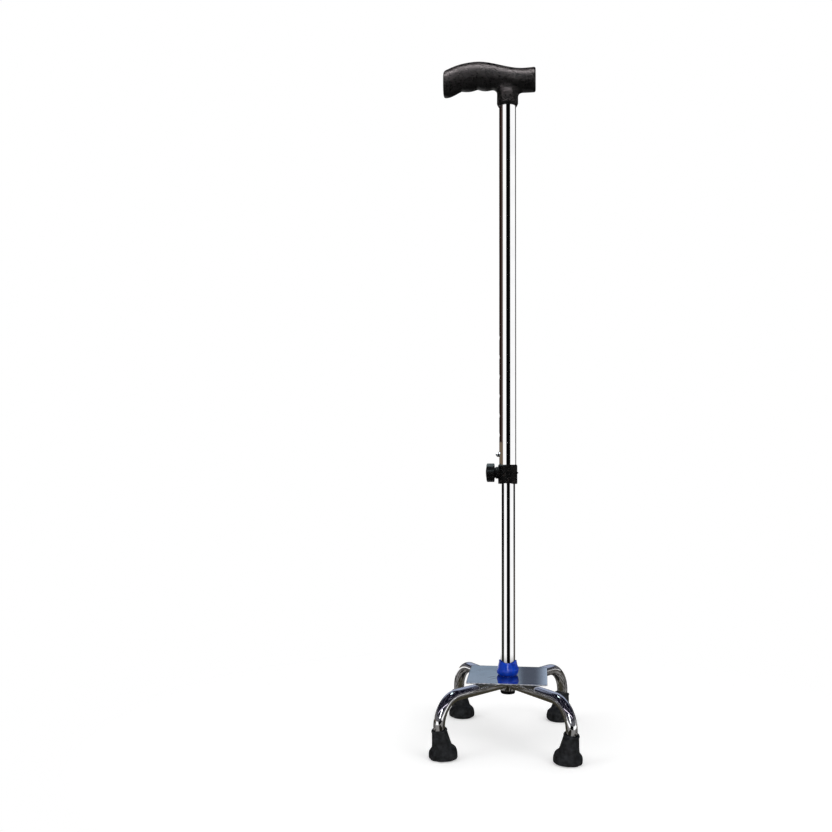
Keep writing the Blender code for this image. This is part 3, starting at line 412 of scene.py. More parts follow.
gripLook = {
    "flat": ((0.0016, 0.0017, 0.0016), 0.40),
    "base": (0.0016, 0.0017, 0.0016),
    "patch": (0.0060, 0.0054, 0.0054),
    "patches": (45, 5, 0.25, 0.65),
    "specular": 0.085,
    "grain": (540, 2),
    "grainBump": (0.55, 0.62 * mm),
    "grainWorn": (0.35, 0.65),
    "grainGloss": (0.34, 0.66),
    "roughness": (0.22, 0.50),          # the grain shines unevenly
    "partingHeight": 840.5 * mm,        # the mould's parting line on the heel
    "partingHalf": 0.35 * mm,
    "partingFrom": (16 * mm, 18 * mm),  # it fades in between these, along X
    "partingBreaks": (520, 1, 0.35, 0.55, 0.2, 1),
    "partingBump": (0.6, 0.25 * mm),
}


def makeGripPlastic():
    look = Finish("handle plastic", *gripLook["flat"], specular=gripLook["specular"])
    grain = look.noise(*gripLook["grain"])
    worn = look.product(look.patches(*gripLook["patches"]), look.ranged(grain, *gripLook["grainWorn"]))
    look.tint(worn, gripLook["base"], gripLook["patch"])
    look.shine(look.ranged(grain, *gripLook["grainGloss"], *gripLook["roughness"]))
    look.bump(grain, *gripLook["grainBump"])
    height = gripLook["partingHeight"]
    line = look.product(look.window(look.axis("Z"), (height, height), gripLook["partingHalf"]),
                        look.ranged(look.axis("X"), *gripLook["partingFrom"]))
    look.bump(look.product(line, look.patches(*gripLook["partingBreaks"])), *gripLook["partingBump"])
    return look.material


cutLook = {                             # the sheared edge of the plate, brighter and duller than its face
    "flat": ((0.74, 0.75, 0.78), 0.50),
    "base": (0.42, 0.42, 0.44),
    "patch": (0.74, 0.75, 0.78),
    "patches": (330, 3, 0.40, 0.60),
    "gloss": (500, 3, 0.3, 0.7),
    "roughness": (0.42, 0.60),
    "metallic": 1.0,
    "grains": (),
}
zincLook = {
    "flat": ((0.58, 0.58, 0.56), 0.32),
    "base": (0.40, 0.40, 0.39),
    "patch": (0.58, 0.58, 0.56),
    "patches": (260, 3, 0, 1),
    "gloss": (500, 3, 0.3, 0.7),
    "roughness": (0.26, 0.42),
    "metallic": 1.0,
    "grains": ((2600, 2, 0.15, 0.02 * mm),),
}
clampLook = {
    "flat": ((0.0018, 0.0017, 0.0017), 0.34),
    "base": (0.0018, 0.0017, 0.0017),
    "patch": (0.0240, 0.0210, 0.0190),
    "patches": (300, 4, 0.60, 0.78),
    "gloss": (240, 4, 0.3, 0.7),
    "roughness": (0.30, 0.50),
    "specular": 0.10,
    "grains": ((1700, 3, 0.35, 0.02 * mm), (380, 2, 0.30, 0.08 * mm)),
}
sleeveLook = {
    "flat": ((0.003, 0.063, 0.600), 0.14),
    "base": (0.003, 0.063, 0.600),
    "patch": (0.002, 0.028, 0.335),
    "patches": (120, 4, 0.30, 0.75),
    "gloss": (300, 3, 0.3, 0.7),
    "roughness": (0.10, 0.18),
    "specular": 0.60,
    "grains": ((520, 2, 0.22, 0.05 * mm),),
}
rubberLook = {
    "flat": ((0.0050, 0.0056, 0.0064), 0.60),
    "base": (0.0050, 0.0056, 0.0064),
    "patch": (0.0210, 0.0230, 0.0260),
    "patches": (210, 5, 0.36, 0.72),
    "gloss": (330, 4, 0.3, 0.7),
    "roughness": (0.50, 0.70),
    "specular": 0.18,
    "grains": ((1300, 4, 0.50, 0.07 * mm), (230, 2, 0.25, 0.14 * mm)),
}
nylonLook = {
    "flat": ((0.70, 0.68, 0.62), 0.45),
    "base": (0.66, 0.63, 0.56),
    "patch": (0.74, 0.72, 0.67),
    "patches": (300, 3, 0, 1),
    "gloss": (500, 3, 0.3, 0.7),
    "roughness": (0.38, 0.55),
    "grains": ((1800, 2, 0.25, 0.03 * mm),),
}


def makeFinish(name, parts, hue=(1, 1, 1)):
    # hue colours the patches
    look = Finish(name, *parts["flat"], parts.get("metallic", 0.0), parts.get("specular", 0.5))
    patch = tuple(a * b for a, b in zip(parts["patch"], hue))
    look.tint(look.patches(*parts["patches"]), parts["base"], patch)
    look.shine(look.patches(*parts["gloss"], *parts["roughness"]))
    for scale, detail, strength, depth in parts["grains"]:
        look.bump(look.noise(scale, detail), strength, depth)
    return look.material


shaftChrome = makeChrome("shaft chrome", (0.002, 0.008), (120, 0.05, 0.006))
legChrome = makeChrome("leg chrome", (0.012, 0.036), (90, 1, 0.30))
# the button keeps 0.40 of the chrome's brightness: painted shade, so the small ball reads dark as if it
# mirrored dark surroundings
shadedButtonChrome = makeChrome("shaded button chrome", (0.03, 0.08), (200, 1, 0.02), 0.40)
plateSteel = makePlateSteel()
cutSteel = makeFinish("cut plate edge", cutLook)
zincSteel = makeFinish("zinc plated steel", zincLook)
gripPlastic = makeGripPlastic()
collarPlastic = makeFinish("collar plastic", clampLook, (1.15, 1.0, 0.9))
knobPlastic = makeFinish("knob plastic", clampLook, (0.95, 1.0, 1.1))
sleevePlastic = makeFinish("blue sleeve plastic", sleeveLook)
footRubber = makeFinish("foot rubber", rubberLook)
nylon = makeFinish("natural nylon", nylonLook)
print("finishes ready")


# Camera, floor and light

camera = {
    "place": (0.0465, -1.3346, 0.3834),
    "tilt": 91.43,
    "turn": 7.134,
    "roll": 0.10,
    "focalPixels": 1020,
    "picturePixels": 832,
}
toCamera = atan2(camera["place"][1], camera["place"][0])


def makeCamera():
    lens = bpy.data.cameras.new("camera")
    lens.sensor_width = 36
    lens.lens = camera["focalPixels"] / camera["picturePixels"] * lens.sensor_width
    eye = addObject("camera", lens)
    eye.location = camera["place"]
    aim = Matrix.Rotation(radians(camera["turn"]), 3, "Z") @ Matrix.Rotation(radians(camera["tilt"]), 3, "X")
    eye.rotation_euler = (aim @ Matrix.Rotation(radians(camera["roll"]), 3, "Z")).to_euler()
    scene.camera = eye


studio = {
    "roomLevel": 0.66,          # light from all round on dull surfaces
    "floorColour": 0.84,
    "floorRoughness": 0.9,
    "floorGlow": 0.36,
    "floorFade": (0.18, 0.55),  # over this distance the floor turns into the white backdrop
    "floorSize": 40,
    "floorHeight": -0.1 * mm,
    "wallReach": 8.0,
    "wallTop": 3.75,
    "sheetHeight": 2 * mm,
    "groundHeight": 1 * mm,
}

# Cards that only metal and gloss see. Angles go from the camera's side, + to its right.
# Walls stand at the studio's reach; sheets lie between two distances
wallCards = (
    {"name": "wall front", "angles": (-20, 36), "tone": (0.0015, 0.0015, 0.0015)},
    {"name": "wall right", "angles": (125, 180), "tone": (0.025, 0.024, 0.022)},
)
leftWall = {                    # brown, lighter towards the front and near the floor
    "angles": (-166, -67),
    "low": (0.156, 0.115, 0.080),
    "lowTo": (0.370, 0.386),
    "front": (0.150, 0.120, 0.110),
    "frontTo": (-0.34, 0.02),
    "middle": (0.045, 0.025, 0.020),
    "backFrom": (0.05, 0.45),
    "back": (0.012, 0.005, 0.0035),
}
backWall = {                    # as the plate mirrors it: pale blue to the left, darker past the shaft
    "angles": (166, 194),
    "nearer": 0.02,
    "pale": (0.300, 0.374, 0.461),
    "deep": (0.103, 0.117, 0.150),
    "right": (0.52, 0.62, 0.76),
    "upper": (0.36, 0.43, 0.52),
    "dark": (0.012, 0.012, 0.020),
    "deepAt": (-0.24, -0.13),
    "rightAt": (-0.04, 0.12),
    "upperAt": (1.84, 1.98),
    "bandFrom": (1.66, 1.76),
    "bandTo": (2.20, 2.06),
}
sheetCards = (
    {"name": "sheet front", "angles": (-16, 35), "near": (0.0015, 0.0015, 0.0015),
     "far": (0.0015, 0.0015, 0.0015)},
    {"name": "sheet left", "angles": (-112, -60), "near": (0.025, 0.027, 0.022),
     "far": (0.001, 0.0002, 0.0001)},
    {"name": "sheet right", "angles": (100, 180), "near": (0.070, 0.062, 0.055),
     "far": (0.0005, 0.0005, 0.0005)},
)
sheetReach = (0.45, 8.0)
sheetFade = (1.2, 3.0)
lensHeight = camera["place"][2]
glowLamps = (
    {"name": "lamp bar", "angles": (-6, 2), "reach": (0.55, 1.8), "height": lensHeight,
     "light": (5, 5.2, 5.6)},
    {"name": "lamp top", "angles": (-6, 2), "reach": (1.5, 8.0), "height": studio["wallTop"] - 0.01,
     "light": (14, 14.5, 15)},
)

# A sheet level with the lens: the shaft has it edge-on, the base mirrors its underside
levelSheet = {
    "angles": (-160, 160),
    "reach": (0.016, 6.0),
    "backReach": 1.0,                   # past the cane it ends early, where the plate looks out
    "over": 0.04 * mm,
    "near": (0.003, 0.003, 0.008),
    "far": (0.095, 0.095, 0.100),
    "fade": (0.75, 1.5),
    "streak": (1.9, 1.75, 2.1),         # a bright line across it, before the cane
    "streakAt": (-0.480, -0.462),
    "streakEdge": 0.02,
    "streakHalf": 0.55,
    "streakSideEdge": 0.08,
    "streakBreaks": (24, 2, 0.36, 0.50),
    "lines": (0.46, 0.44, 0.56),        # thin wandering lines, as from a room's clutter
    "lineNoise": (7, 2),
    "lineWidth": 0.012,
    "patch": (4.6, 5.7, 6.0),           # a small light over the knob
    "patchX": (-0.048, -0.021),
    "patchY": (-0.030, 0.030),
    "patchEdge": 0.006,
    "sky": (0.30, 0.34, 0.46),          # pale blue behind the cane
    "skyFrom": (0.12, 0.22),
    "skyHalf": 0.35,
    "skyEdge": 0.20,
}
ceiling = {                             # dark above, with two soft strips of light
    "dark": (0.010, 0.012, 0.026),
    "past": 0.1,                        # how far it goes over the walls
    "light": (66.0, 60.0, 61.0),
    "strip": (-2.65, -1.50),            # along Y, before the cane
    "stripHalf": 3.0,                   # along X
    "edge": 0.25,
    "thin": (2.6, 2.75),                # a thin strip behind the cane
    "thinEdge": 0.05,
    "thinLight": (1.5, 1.4, 1.8),
}
groundCard = {                          # the floor as the legs mirror it
    "reach": 0.62,
    "under": (0.040, 0.036, 0.024),     # in the shade of the plate
    "shade": (0.05, 0.16),
    "round": (0.225, 0.217, 0.212),
    "streaks": (0.012, 0.011, 0.008),
    "streakNoise": (32, 3, 0.46, 0.53),
    "streaksFrom": (-0.20, -0.15),      # no streaks further out, along Y
    "stem": (-0.37, -0.15),             # a dark place before the cane, along Y
    "stemHalf": 0.05,
    "stemEdge": 0.02,
    "behind": (0.030, 0.030, 0.034),
    "behindFrom": (0.12, 0.30),
    "open": (0.42, 0.54),               # white further out
}


class Glow(NodeSet):
    # a card's own light, mixed from its place
    easing = "SMOOTHSTEP"

    def __init__(self, name):
        self.material = bpy.data.materials.new(name)
        super().__init__(self.material)
        self.tree.nodes.clear()
        self.surface = self.add("ShaderNodeOutputMaterial").inputs["Surface"]
        self.light = self.add("ShaderNodeEmission")
        self.link(self.light.outputs["Emission"], self.surface)
        self.place = self.add("ShaderNodeTexCoord").outputs["Object"]

    def heading(self, name):
        # the X or Y share of the direction from the shaft
        flat = self.worked("ShaderNodeVectorMath", "MULTIPLY", self.place, (1, 1, 0))["Vector"]
        return self.split(self.worked("ShaderNodeVectorMath", "NORMALIZE", flat)["Vector"])[name]

    def clearFromBehind(self):
        side = self.add("ShaderNodeNewGeometry").outputs["Backfacing"]
        clear = self.add("ShaderNodeBsdfTransparent").outputs["BSDF"]
        self.link(self.mixed(side, self.light.outputs["Emission"], clear), self.surface)

    def show(self, colour):
        if isinstance(colour, tuple):
            self.light.inputs["Color"].default_value = (*colour, 1)
        else:
            self.link(colour, self.light.inputs["Color"])


def sheetFrom(name, work, material):
    made = addObject(name, meshFrom(name, work))
    made.data.materials.append(material)
    return made


def flatSheet(name, points, material):
    work = bmesh.new()
    work.faces.new([work.verts.new(p) for p in points])
    return sheetFrom(name, work, material)


def arcSheet(name, angles, near, far, material, steps=24):
    # quads between two arcs round the shaft; near and far are (distance, height)
    turns = [toCamera + radians(angles[0] + (angles[1] - angles[0]) * i / steps) for i in range(steps + 1)]
    work = bmesh.new()
    inner, outer = ([work.verts.new((r * cos(a), r * sin(a), z)) for a in turns] for r, z in (near, far))
    for i in range(steps):
        work.faces.new((inner[i], inner[i + 1], outer[i + 1], outer[i]))
    return sheetFrom(name, work, material)


def onlyInGloss(card):
    card.visible_camera = False
    card.visible_diffuse = False
    card.visible_shadow = False
    card.visible_transmission = False


def wall(name, angles, glow, nearer=0.0):
    reach = studio["wallReach"] - nearer
    low, top = studio["sheetHeight"], studio["wallTop"]
    onlyInGloss(arcSheet(name, angles, (reach, low), (reach, top), glow.material))


def sheet(name, angles, ends, glow, height):
    onlyInGloss(arcSheet(name, angles, (ends[0], height), (ends[1], height), glow.material))


def makePlainCards():
    for card in wallCards:
        glow = Glow(card["name"])
        glow.show(card["tone"])
        wall(card["name"], card["angles"], glow)
    for card in sheetCards:
        glow = Glow(card["name"])
        glow.show(glow.blended(glow.ranged(glow.distance(), *sheetFade), card["near"], card["far"]))
        sheet(card["name"], card["angles"], sheetReach, glow, studio["sheetHeight"])


def makeGlowLamps():
    for lamp in glowLamps:
        glow = Glow(lamp["name"])
        glow.show(lamp["light"])
        glow.clearFromBehind()
        sheet(lamp["name"], lamp["angles"], lamp["reach"], glow, lamp["height"])


def makeLeftWall():
    glow = Glow("wall left")
    side = glow.heading("Y")
    tone = glow.blended(glow.ranged(side, *leftWall["frontTo"]), leftWall["front"], leftWall["middle"])
    tone = glow.blended(glow.ranged(side, *leftWall["backFrom"]), tone, leftWall["back"])
    glow.show(glow.blended(glow.ranged(glow.axis("Z"), *leftWall["lowTo"]), leftWall["low"], tone))
    wall("wall left", leftWall["angles"], glow)


def makeBackWall():
    glow = Glow("wall back")
    across, up = glow.axis("X"), glow.axis("Z")
    tone = glow.blended(glow.ranged(across, *backWall["deepAt"]), backWall["pale"], backWall["deep"])
    tone = glow.blended(glow.ranged(across, *backWall["rightAt"]), tone, backWall["right"])
    left = glow.ranged(across, *backWall["deepAt"][::-1])
    upper = glow.product(glow.ranged(up, *backWall["upperAt"]), left)
    tone = glow.blended(upper, tone, backWall["upper"])
    inside = glow.product(glow.ranged(up, *backWall["bandFrom"]), glow.ranged(up, *backWall["bandTo"]))
    glow.show(glow.blended(inside, backWall["dark"], tone))
    wall("wall back", backWall["angles"], glow, backWall["nearer"])


def makeLevelSheet():
    s = levelSheet
    glow = Glow("sheet level")
    along, across = glow.axis("Y"), glow.axis("X")
    tone = glow.blended(glow.ranged(glow.distance(), *s["fade"]), s["near"], s["far"])
    lines = glow.window(glow.noise(*s["lineNoise"]), (0.5, 0.5), s["lineWidth"])
    tone = glow.blended(lines, tone, s["lines"])
    sides = glow.window(across, (-s["streakHalf"], s["streakHalf"]), s["streakSideEdge"])
    broken = glow.product(sides, glow.patches(*s["streakBreaks"]))
    streak = glow.window(along, s["streakAt"], s["streakEdge"])
    tone = glow.blended(glow.product(streak, broken), tone, s["streak"])
    sides = glow.window(across, (-s["skyHalf"], s["skyHalf"]), s["skyEdge"])
    tone = glow.blended(glow.product(glow.ranged(along, *s["skyFrom"]), sides), tone, s["sky"])
    patch = glow.product(glow.window(across, s["patchX"], s["patchEdge"]),
                         glow.window(along, s["patchY"], s["patchEdge"]))
    glow.show(glow.blended(patch, tone, s["patch"]))
    glow.clearFromBehind()
    start, end = s["angles"]
    height = lensHeight + s["over"]
    sheet("sheet level", (start, end), s["reach"], glow, height)
    sheet("sheet level back", (end, 360 + start), (s["reach"][0], s["backReach"]), glow, height)


def makeCeiling():
    glow = Glow("ceiling")
    across = glow.axis("Y")
    half = ceiling["stripHalf"]
    sides = glow.window(glow.axis("X"), (-half, half), ceiling["edge"])
    main = glow.product(glow.window(across, ceiling["strip"], ceiling["edge"]), sides)
    thin = glow.window(across, ceiling["thin"], ceiling["thinEdge"])
    tone = glow.blended(thin, ceiling["dark"], ceiling["thinLight"])
    glow.show(glow.blended(main, tone, ceiling["light"]))
    points = ringAt(studio["wallReach"] + ceiling["past"], studio["wallTop"], 64)
    onlyInGloss(flatSheet("ceiling", points, glow.material))


def makeGroundCard():
    glow = Glow("card ground")
    away, along = glow.distance(), glow.axis("Y")
    patches = glow.product(glow.patches(*groundCard["streakNoise"]),
                           glow.ranged(along, *groundCard["streaksFrom"]))
    tone = glow.blended(patches, groundCard["round"], groundCard["streaks"])
    half, soft = groundCard["stemHalf"], groundCard["stemEdge"]
    stem = glow.product(glow.window(along, groundCard["stem"], soft),
                        glow.window(glow.axis("X"), (-half, half), soft))
    tone = glow.blended(stem, tone, groundCard["streaks"])
    tone = glow.blended(glow.ranged(along, *groundCard["behindFrom"]), tone, groundCard["behind"])
    tone = glow.blended(glow.ranged(away, *groundCard["shade"]), groundCard["under"], tone)
    glow.show(glow.blended(glow.ranged(away, *groundCard["open"]), tone, (1.0, 1.0, 1.0)))
    points = ringAt(groundCard["reach"], studio["groundHeight"], 64)
    onlyInGloss(flatSheet("card ground", points, glow.material))


def makeFloor():
    look = Finish("floor paper", (studio["floorColour"],) * 3, studio["floorRoughness"], specular=0.0)
    look.shader.inputs["Emission Color"].default_value = (1, 1, 1, 1)
    look.shader.inputs["Emission Strength"].default_value = studio["floorGlow"]
    white = look.add("ShaderNodeEmission").outputs["Emission"]
    fade = look.ranged(look.distance(), *studio["floorFade"])
    paper = look.mixed(fade, look.shader.outputs["BSDF"], white)
    look.link(paper, look.tree.nodes["Material Output"].inputs["Surface"])
    half, z = studio["floorSize"] / 2, studio["floorHeight"]
    corners = [(-half, -half, z), (half, -half, z), (half, half, z), (-half, half, z)]
    floor = flatSheet("floor", corners, look.material)


def makeRoom():
    # white where it is seen, directly or in metal, and plain grey as a light
    scene.world = bpy.data.worlds.new("room")
    room = NodeSet(scene.world)
    room.tree.nodes.clear()
    rays = room.add("ShaderNodeLightPath").outputs
    seen = rays["Is Camera Ray"]
    for kind in ("Is Glossy Ray", "Is Transmission Ray"):
        seen = room.worked("ShaderNodeMath", "MAXIMUM", seen, rays[kind])["Value"]
    levels = []
    for strength in (studio["roomLevel"], 1.0):
        level = room.add("ShaderNodeBackground")
        level.inputs["Color"].default_value = (1, 1, 1, 1)
        level.inputs["Strength"].default_value = strength
        levels.append(level.outputs["Background"])
    room.link(room.mixed(seen, *levels), room.add("ShaderNodeOutputWorld").inputs["Surface"])


softLamps = (
    {"name": "soft lamp right", "place": (1.5, -1.5, 1.9), "size": 1.2, "power": 13},
    {"name": "soft lamp left", "place": (-1.6, -1.1, 1.3), "size": 1.0, "power": 6},
)
lampsAim = Vector((0, 0, 0.4))


def makeSoftLamp(lamp):
    light = bpy.data.lights.new(lamp["name"], "AREA")
    light.size = lamp["size"]
    light.energy = lamp["power"]
    made = addObject(lamp["name"], light)
    made.location = lamp["place"]
    made.rotation_euler = (lampsAim - made.location).to_track_quat("-Z", "Y").to_euler()
    made.visible_glossy = False


makeCamera()
makeFloor()
makeRoom()
makePlainCards()
makeLeftWall()
makeBackWall()
makeLevelSheet()
makeGlowLamps()
makeCeiling()
makeGroundCard()
for lamp in softLamps:
    makeSoftLamp(lamp)
print("camera, floor and light ready")


# Handle

handle = {
    "noseReach": 84.3 * mm,
    "heelReach": 36.8 * mm,
    "crown": (-40.0 * mm, 61.1 * mm),       # highest point of the top line
    "saddle": (20.0 * mm, 50.2 * mm),
    "noseTop": 50.2 * mm,
    "heelTop": 51.4 * mm,
    "noseSlope": 0.52,
    "heelSlope": 0.12,
    "tip": (-80.0 * mm, 16.1 * mm),         # lowest point under the nose
    "tipSlopes": (0.05, 0.44),              # from the tip to the first valley
    "valleys": ((-60.8 * mm, 24.0 * mm), (-39.5 * mm, 25.8 * mm), (-21.1 * mm, 24.4 * mm)),
    "swell": 1.6 * mm,                      # how far each finger swell stands out
    "heelBottom": 19.5 * mm,
    "halfWidth": 14.3 * mm,
    "noseHalfWidth": 12.2 * mm,
    "heelHalfWidth": 13.0 * mm,
    "squareness": 2.5,
    "endRound": 2.4 * mm,
    "rings": 110,
    "neckRadius": 13.9 * mm,
    "neckBore": 11.3 * mm,
    "neckFillet": 6.0 * mm,
    "neckChamfer": 3.4 * mm,
    "neckInside": ((0.8, 0.96), (1.0, 0.88)),   # inside the grip: shares of depth and radius
    "rimTrim": 1.1 * mm,
    "socketDepth": 36.0 * mm,
    "screwHole": 2.0 * mm,
    "steps": 72,
    "voxel": 0.75 * mm,
    "rounds": 6,
    # the blend between neck and grip is eased further: rounds, radius, reach out, reach up, height
    "blendRounds": 60,
    "blendFrom": 15 * mm,
    "blendOut": 9 * mm,
    "blendUp": 7 * mm,
    "blendOver": 1 * mm,
}


def hermite(x, start, end, startSlope, endSlope):
    span = end[0] - start[0]
    t = (x - start[0]) / span
    return (
        (2 * t**3 - 3 * t**2 + 1) * start[1]
        + (t**3 - 2 * t**2 + t) * span * startSlope
        + (3 * t**2 - 2 * t**3) * end[1]
        + (t**3 - t**2) * span * endSlope
    )


def gripTop(x):
    crown, saddle = handle["crown"], handle["saddle"]
    if x < crown[0]:
        return hermite(x, (-handle["noseReach"], handle["noseTop"]), crown, handle["noseSlope"], 0)
    if x < saddle[0]:
        return hermite(x, crown, saddle, 0, 0)
    return hermite(x, saddle, (handle["heelReach"], handle["heelTop"]), 0, handle["heelSlope"])


def gripUnder(x):
    tip, valleys = handle["tip"], handle["valleys"]
    if x < tip[0]:
        return tip[1]
    if x < valleys[0][0]:
        return hermite(x, tip, valleys[0], *handle["tipSlopes"])
    for start, end in zip(valleys, valleys[1:]):
        if x < end[0]:
            t = (x - start[0]) / (end[0] - start[0])
            return start[1] + (end[1] - start[1]) * t - handle["swell"] * sin(pi * t)
    heel = (handle["neckRadius"], handle["heelBottom"])
    if x < heel[0]:
        return hermite(x, valleys[-1], heel, 0, 0)
    return heel[1]


def gripHalfWidth(x):
    end = "nose" if x < 0 else "heel"
    lost = handle["halfWidth"] - handle[end + "HalfWidth"]
    return handle["halfWidth"] - lost * (x / handle[end + "Reach"]) ** 2


def signedPower(value, power):
    return abs(value) ** power * (1 if value >= 0 else -1)


def gripRing(x, inset, rim):
    top = gripTop(x) - inset
    under = gripUnder(x) + inset
    half = gripHalfWidth(x) - inset
    power = 2 / handle["squareness"]
    return [
        Vector((
            x,
            half * signedPower(cos(a), power),
            rim + (top + under) / 2 + (top - under) / 2 * signedPower(sin(a), power),
        ))
        for a in (2 * pi * (i + 0.5) / handle["steps"] for i in range(handle["steps"]))
    ]


def gripForm(rim):
    end, count = handle["endRound"], handle["rings"]
    rounding = [(end * (1 - cos(radians(a))), end * (1 - sin(radians(a)))) for a in range(0, 90, 15)]
    start, stop = -handle["noseReach"], handle["heelReach"]
    rings = [gripRing(start + along, inset, rim) for along, inset in rounding]
    for i in range(count + 1):
        rings.append(gripRing(start + end + (stop - start - 2 * end) * i / count, 0, rim))
    rings += [gripRing(stop - along, inset, rim) for along, inset in rounding[::-1]]
    return skinned("grip form", rings)


def neckForm(rim):
    # its top spreads to both ends of the grip, and higher towards the nose
    radius, fillet = handle["neckRadius"], handle["neckFillet"]
    rise = handle["valleys"][-1][1] - handle["heelBottom"]
    straight = handle["heelBottom"] - fillet
    # height, radius, spread and share of the rise
    rows = [(-2 * mm, radius, 0, 0), (0, radius, 0, 0), (handle["neckChamfer"], radius, 0, 0),
            (straight, radius, 0, 1)]
    for i in range(1, 9):
        a = radians(10 * i)
        rows.append((straight + fillet * sin(a), radius, fillet * (1 - cos(a)), 1))
    for deep, share in handle["neckInside"]:
        rows.append((handle["socketDepth"] * deep, radius * share, 0, 0))
    rings = []
    for height, reach, spread, share in rows:
        ring = ringAt(reach, height, handle["steps"])
        for p in ring:
            p.z += rim + share * rise * (1 - p.x / reach) / 2
            p.x *= (reach + spread) / reach
            p.y *= 1 - 0.10 * spread / fillet
        rings.append(ring)
    return skinned("neck form", rings)


def easeBlend(grip, rim):
    group = grip.vertex_groups.new(name="blend")
    middle = rim + handle["heelBottom"] + handle["blendOver"]
    for v in grip.data.vertices:
        out = max(0, hypot(v.co.x, v.co.y) - handle["blendFrom"]) / handle["blendOut"]
        off = hypot(out, (v.co.z - middle) / handle["blendUp"])
        if off < 1:
            group.add([v.index], (1 - off) ** 0.7, "REPLACE")
    easeStep(grip, handle["blendRounds"]).vertex_group = "blend"
    applied(grip)
    grip.vertex_groups.clear()


def rimCutter(rim):
    # takes off all under the rim and the corner round it, with small steps that soften its edges
    radius, chamfer = handle["neckRadius"], handle["neckChamfer"]
    low, edge = rim - 4 * mm, rim + handle["rimTrim"]
    outer, top = 40 * mm, edge + chamfer
    return turned("rim cutter", [
        (0, low), (outer, low), (outer, top), (radius + 0.6 * mm, top), (radius - 0.15 * mm, top),
        (radius - 0.9 * mm, edge + chamfer * 0.42), (radius - chamfer * 0.5, edge), (0, edge),
    ])


def makeHandle():
    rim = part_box("handle_grip")[0].z
    grip = gripForm(rim)
    combine(grip, neckForm(rim), "UNION")
    remeshed(grip, handle["voxel"], handle["rounds"])
    easeBlend(grip, rim)
    # rim and bore are cut after the easing, so they stay true
    combine(grip, rimCutter(rim))
    bore = rod(handle["neckBore"], rim - 5 * mm, rim + handle["socketDepth"])
    combine(grip, turned("handle bore", softened(bore, 0.4 * mm)))
    drill(grip, handle["screwHole"], 0, 30 * mm, 32, toPlusY, midHeight("handle_screw"))
    grip.name = "moulded_handle"
    shade(grip, 32)
    dress(grip, gripPlastic, "upper", ["handle_grip"])


handleScrew = {
    "headRadius": 3.0 * mm,
    "head": 1.4 * mm,
    "shank": 1.7 * mm,
    "recess": 0.9 * mm,
    "recessDeep": 0.8 * mm,
    "edge": 0.25 * mm,
}


def makeHandleScrew():
    low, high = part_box("handle_screw")
    head, thick, shank = (handleScrew[name] for name in ("headRadius", "head", "shank"))
    seat = high.y - thick
    outline = softened([
        (0, low.y), (shank * 0.5, low.y), (shank, low.y + shank * 0.6), (shank, seat), (head, seat),
        (head, high.y - 0.4 * thick), (head * 0.72, high.y), (0, high.y),
    ], handleScrew["edge"])
    height = midHeight("handle_screw")
    screw = turned("neck_screw", outline, 64, turn=toPlusY, height=height)
    for turn in (0, pi / 2):
        # one slot of the cross recess
        work = bmesh.new()
        bmesh.ops.create_cube(work, size=1.0)
        size = (handleScrew["recess"], 2 * handleScrew["recessDeep"], 1.2 * head)
        bmesh.ops.scale(work, vec=size, verts=work.verts)
        bmesh.ops.rotate(work, matrix=Matrix.Rotation(turn, 3, "Y"), verts=work.verts)
        bmesh.ops.translate(work, vec=(0, high.y, height), verts=work.verts)
        combine(screw, solidFrom("recess", work))
    shade(screw, 35)
    dress(screw, zincSteel, "upper", ["handle_screw"])


makeHandle()
makeHandleScrew()
print("handle ready")


# Shaft

shaft = {
    "wall": 1.2 * mm,
    "endRound": 0.25 * mm,
    "steps": 96,
    "window": 6,                # columns from a hole's middle to the edge of its patch
    "holePitch": 25.4 * mm,
    "holeCount": 7,
    "holeRadius": 3.5 * mm,
    "clampHoleRadius": 3.8 * mm,
    "rivetHoleRadius": 1.3 * mm,
    "pinHoleRadius": 1.9 * mm,
    "screwHoleRadius": 2.0 * mm,
}
endShape = ((0, 1), (0.3, 0.3), (1, 0), (1.9, 0))   # shares of the end's rounding: along it, drawn in
holeShares = (0.35, 0.7, 0.9, 1.0)                  # the rings between a patch's border and its hole
quarterTurns = {"right": 0, "back": 1, "left": 2, "front": 3}


def holeColumn(side):
    return quarterTurns[side] * shaft["steps"] // 4


def tubeLevels(low, high, holes, half):
    # heights of the rings, with how far each end ring is drawn in
    r = shaft["endRound"]
    levels = {}
    for end, inward in ((low, 1), (high, -1)):
        for along, drawn in endShape:
            levels[round(end + inward * along * r, 7)] = drawn * r
    size = shaft["window"]
    for _, z, _ in holes:
        for j in range(-size, size + 1):
            levels[round(z + half * j / size, 7)] = 0
    return sorted(levels.items())


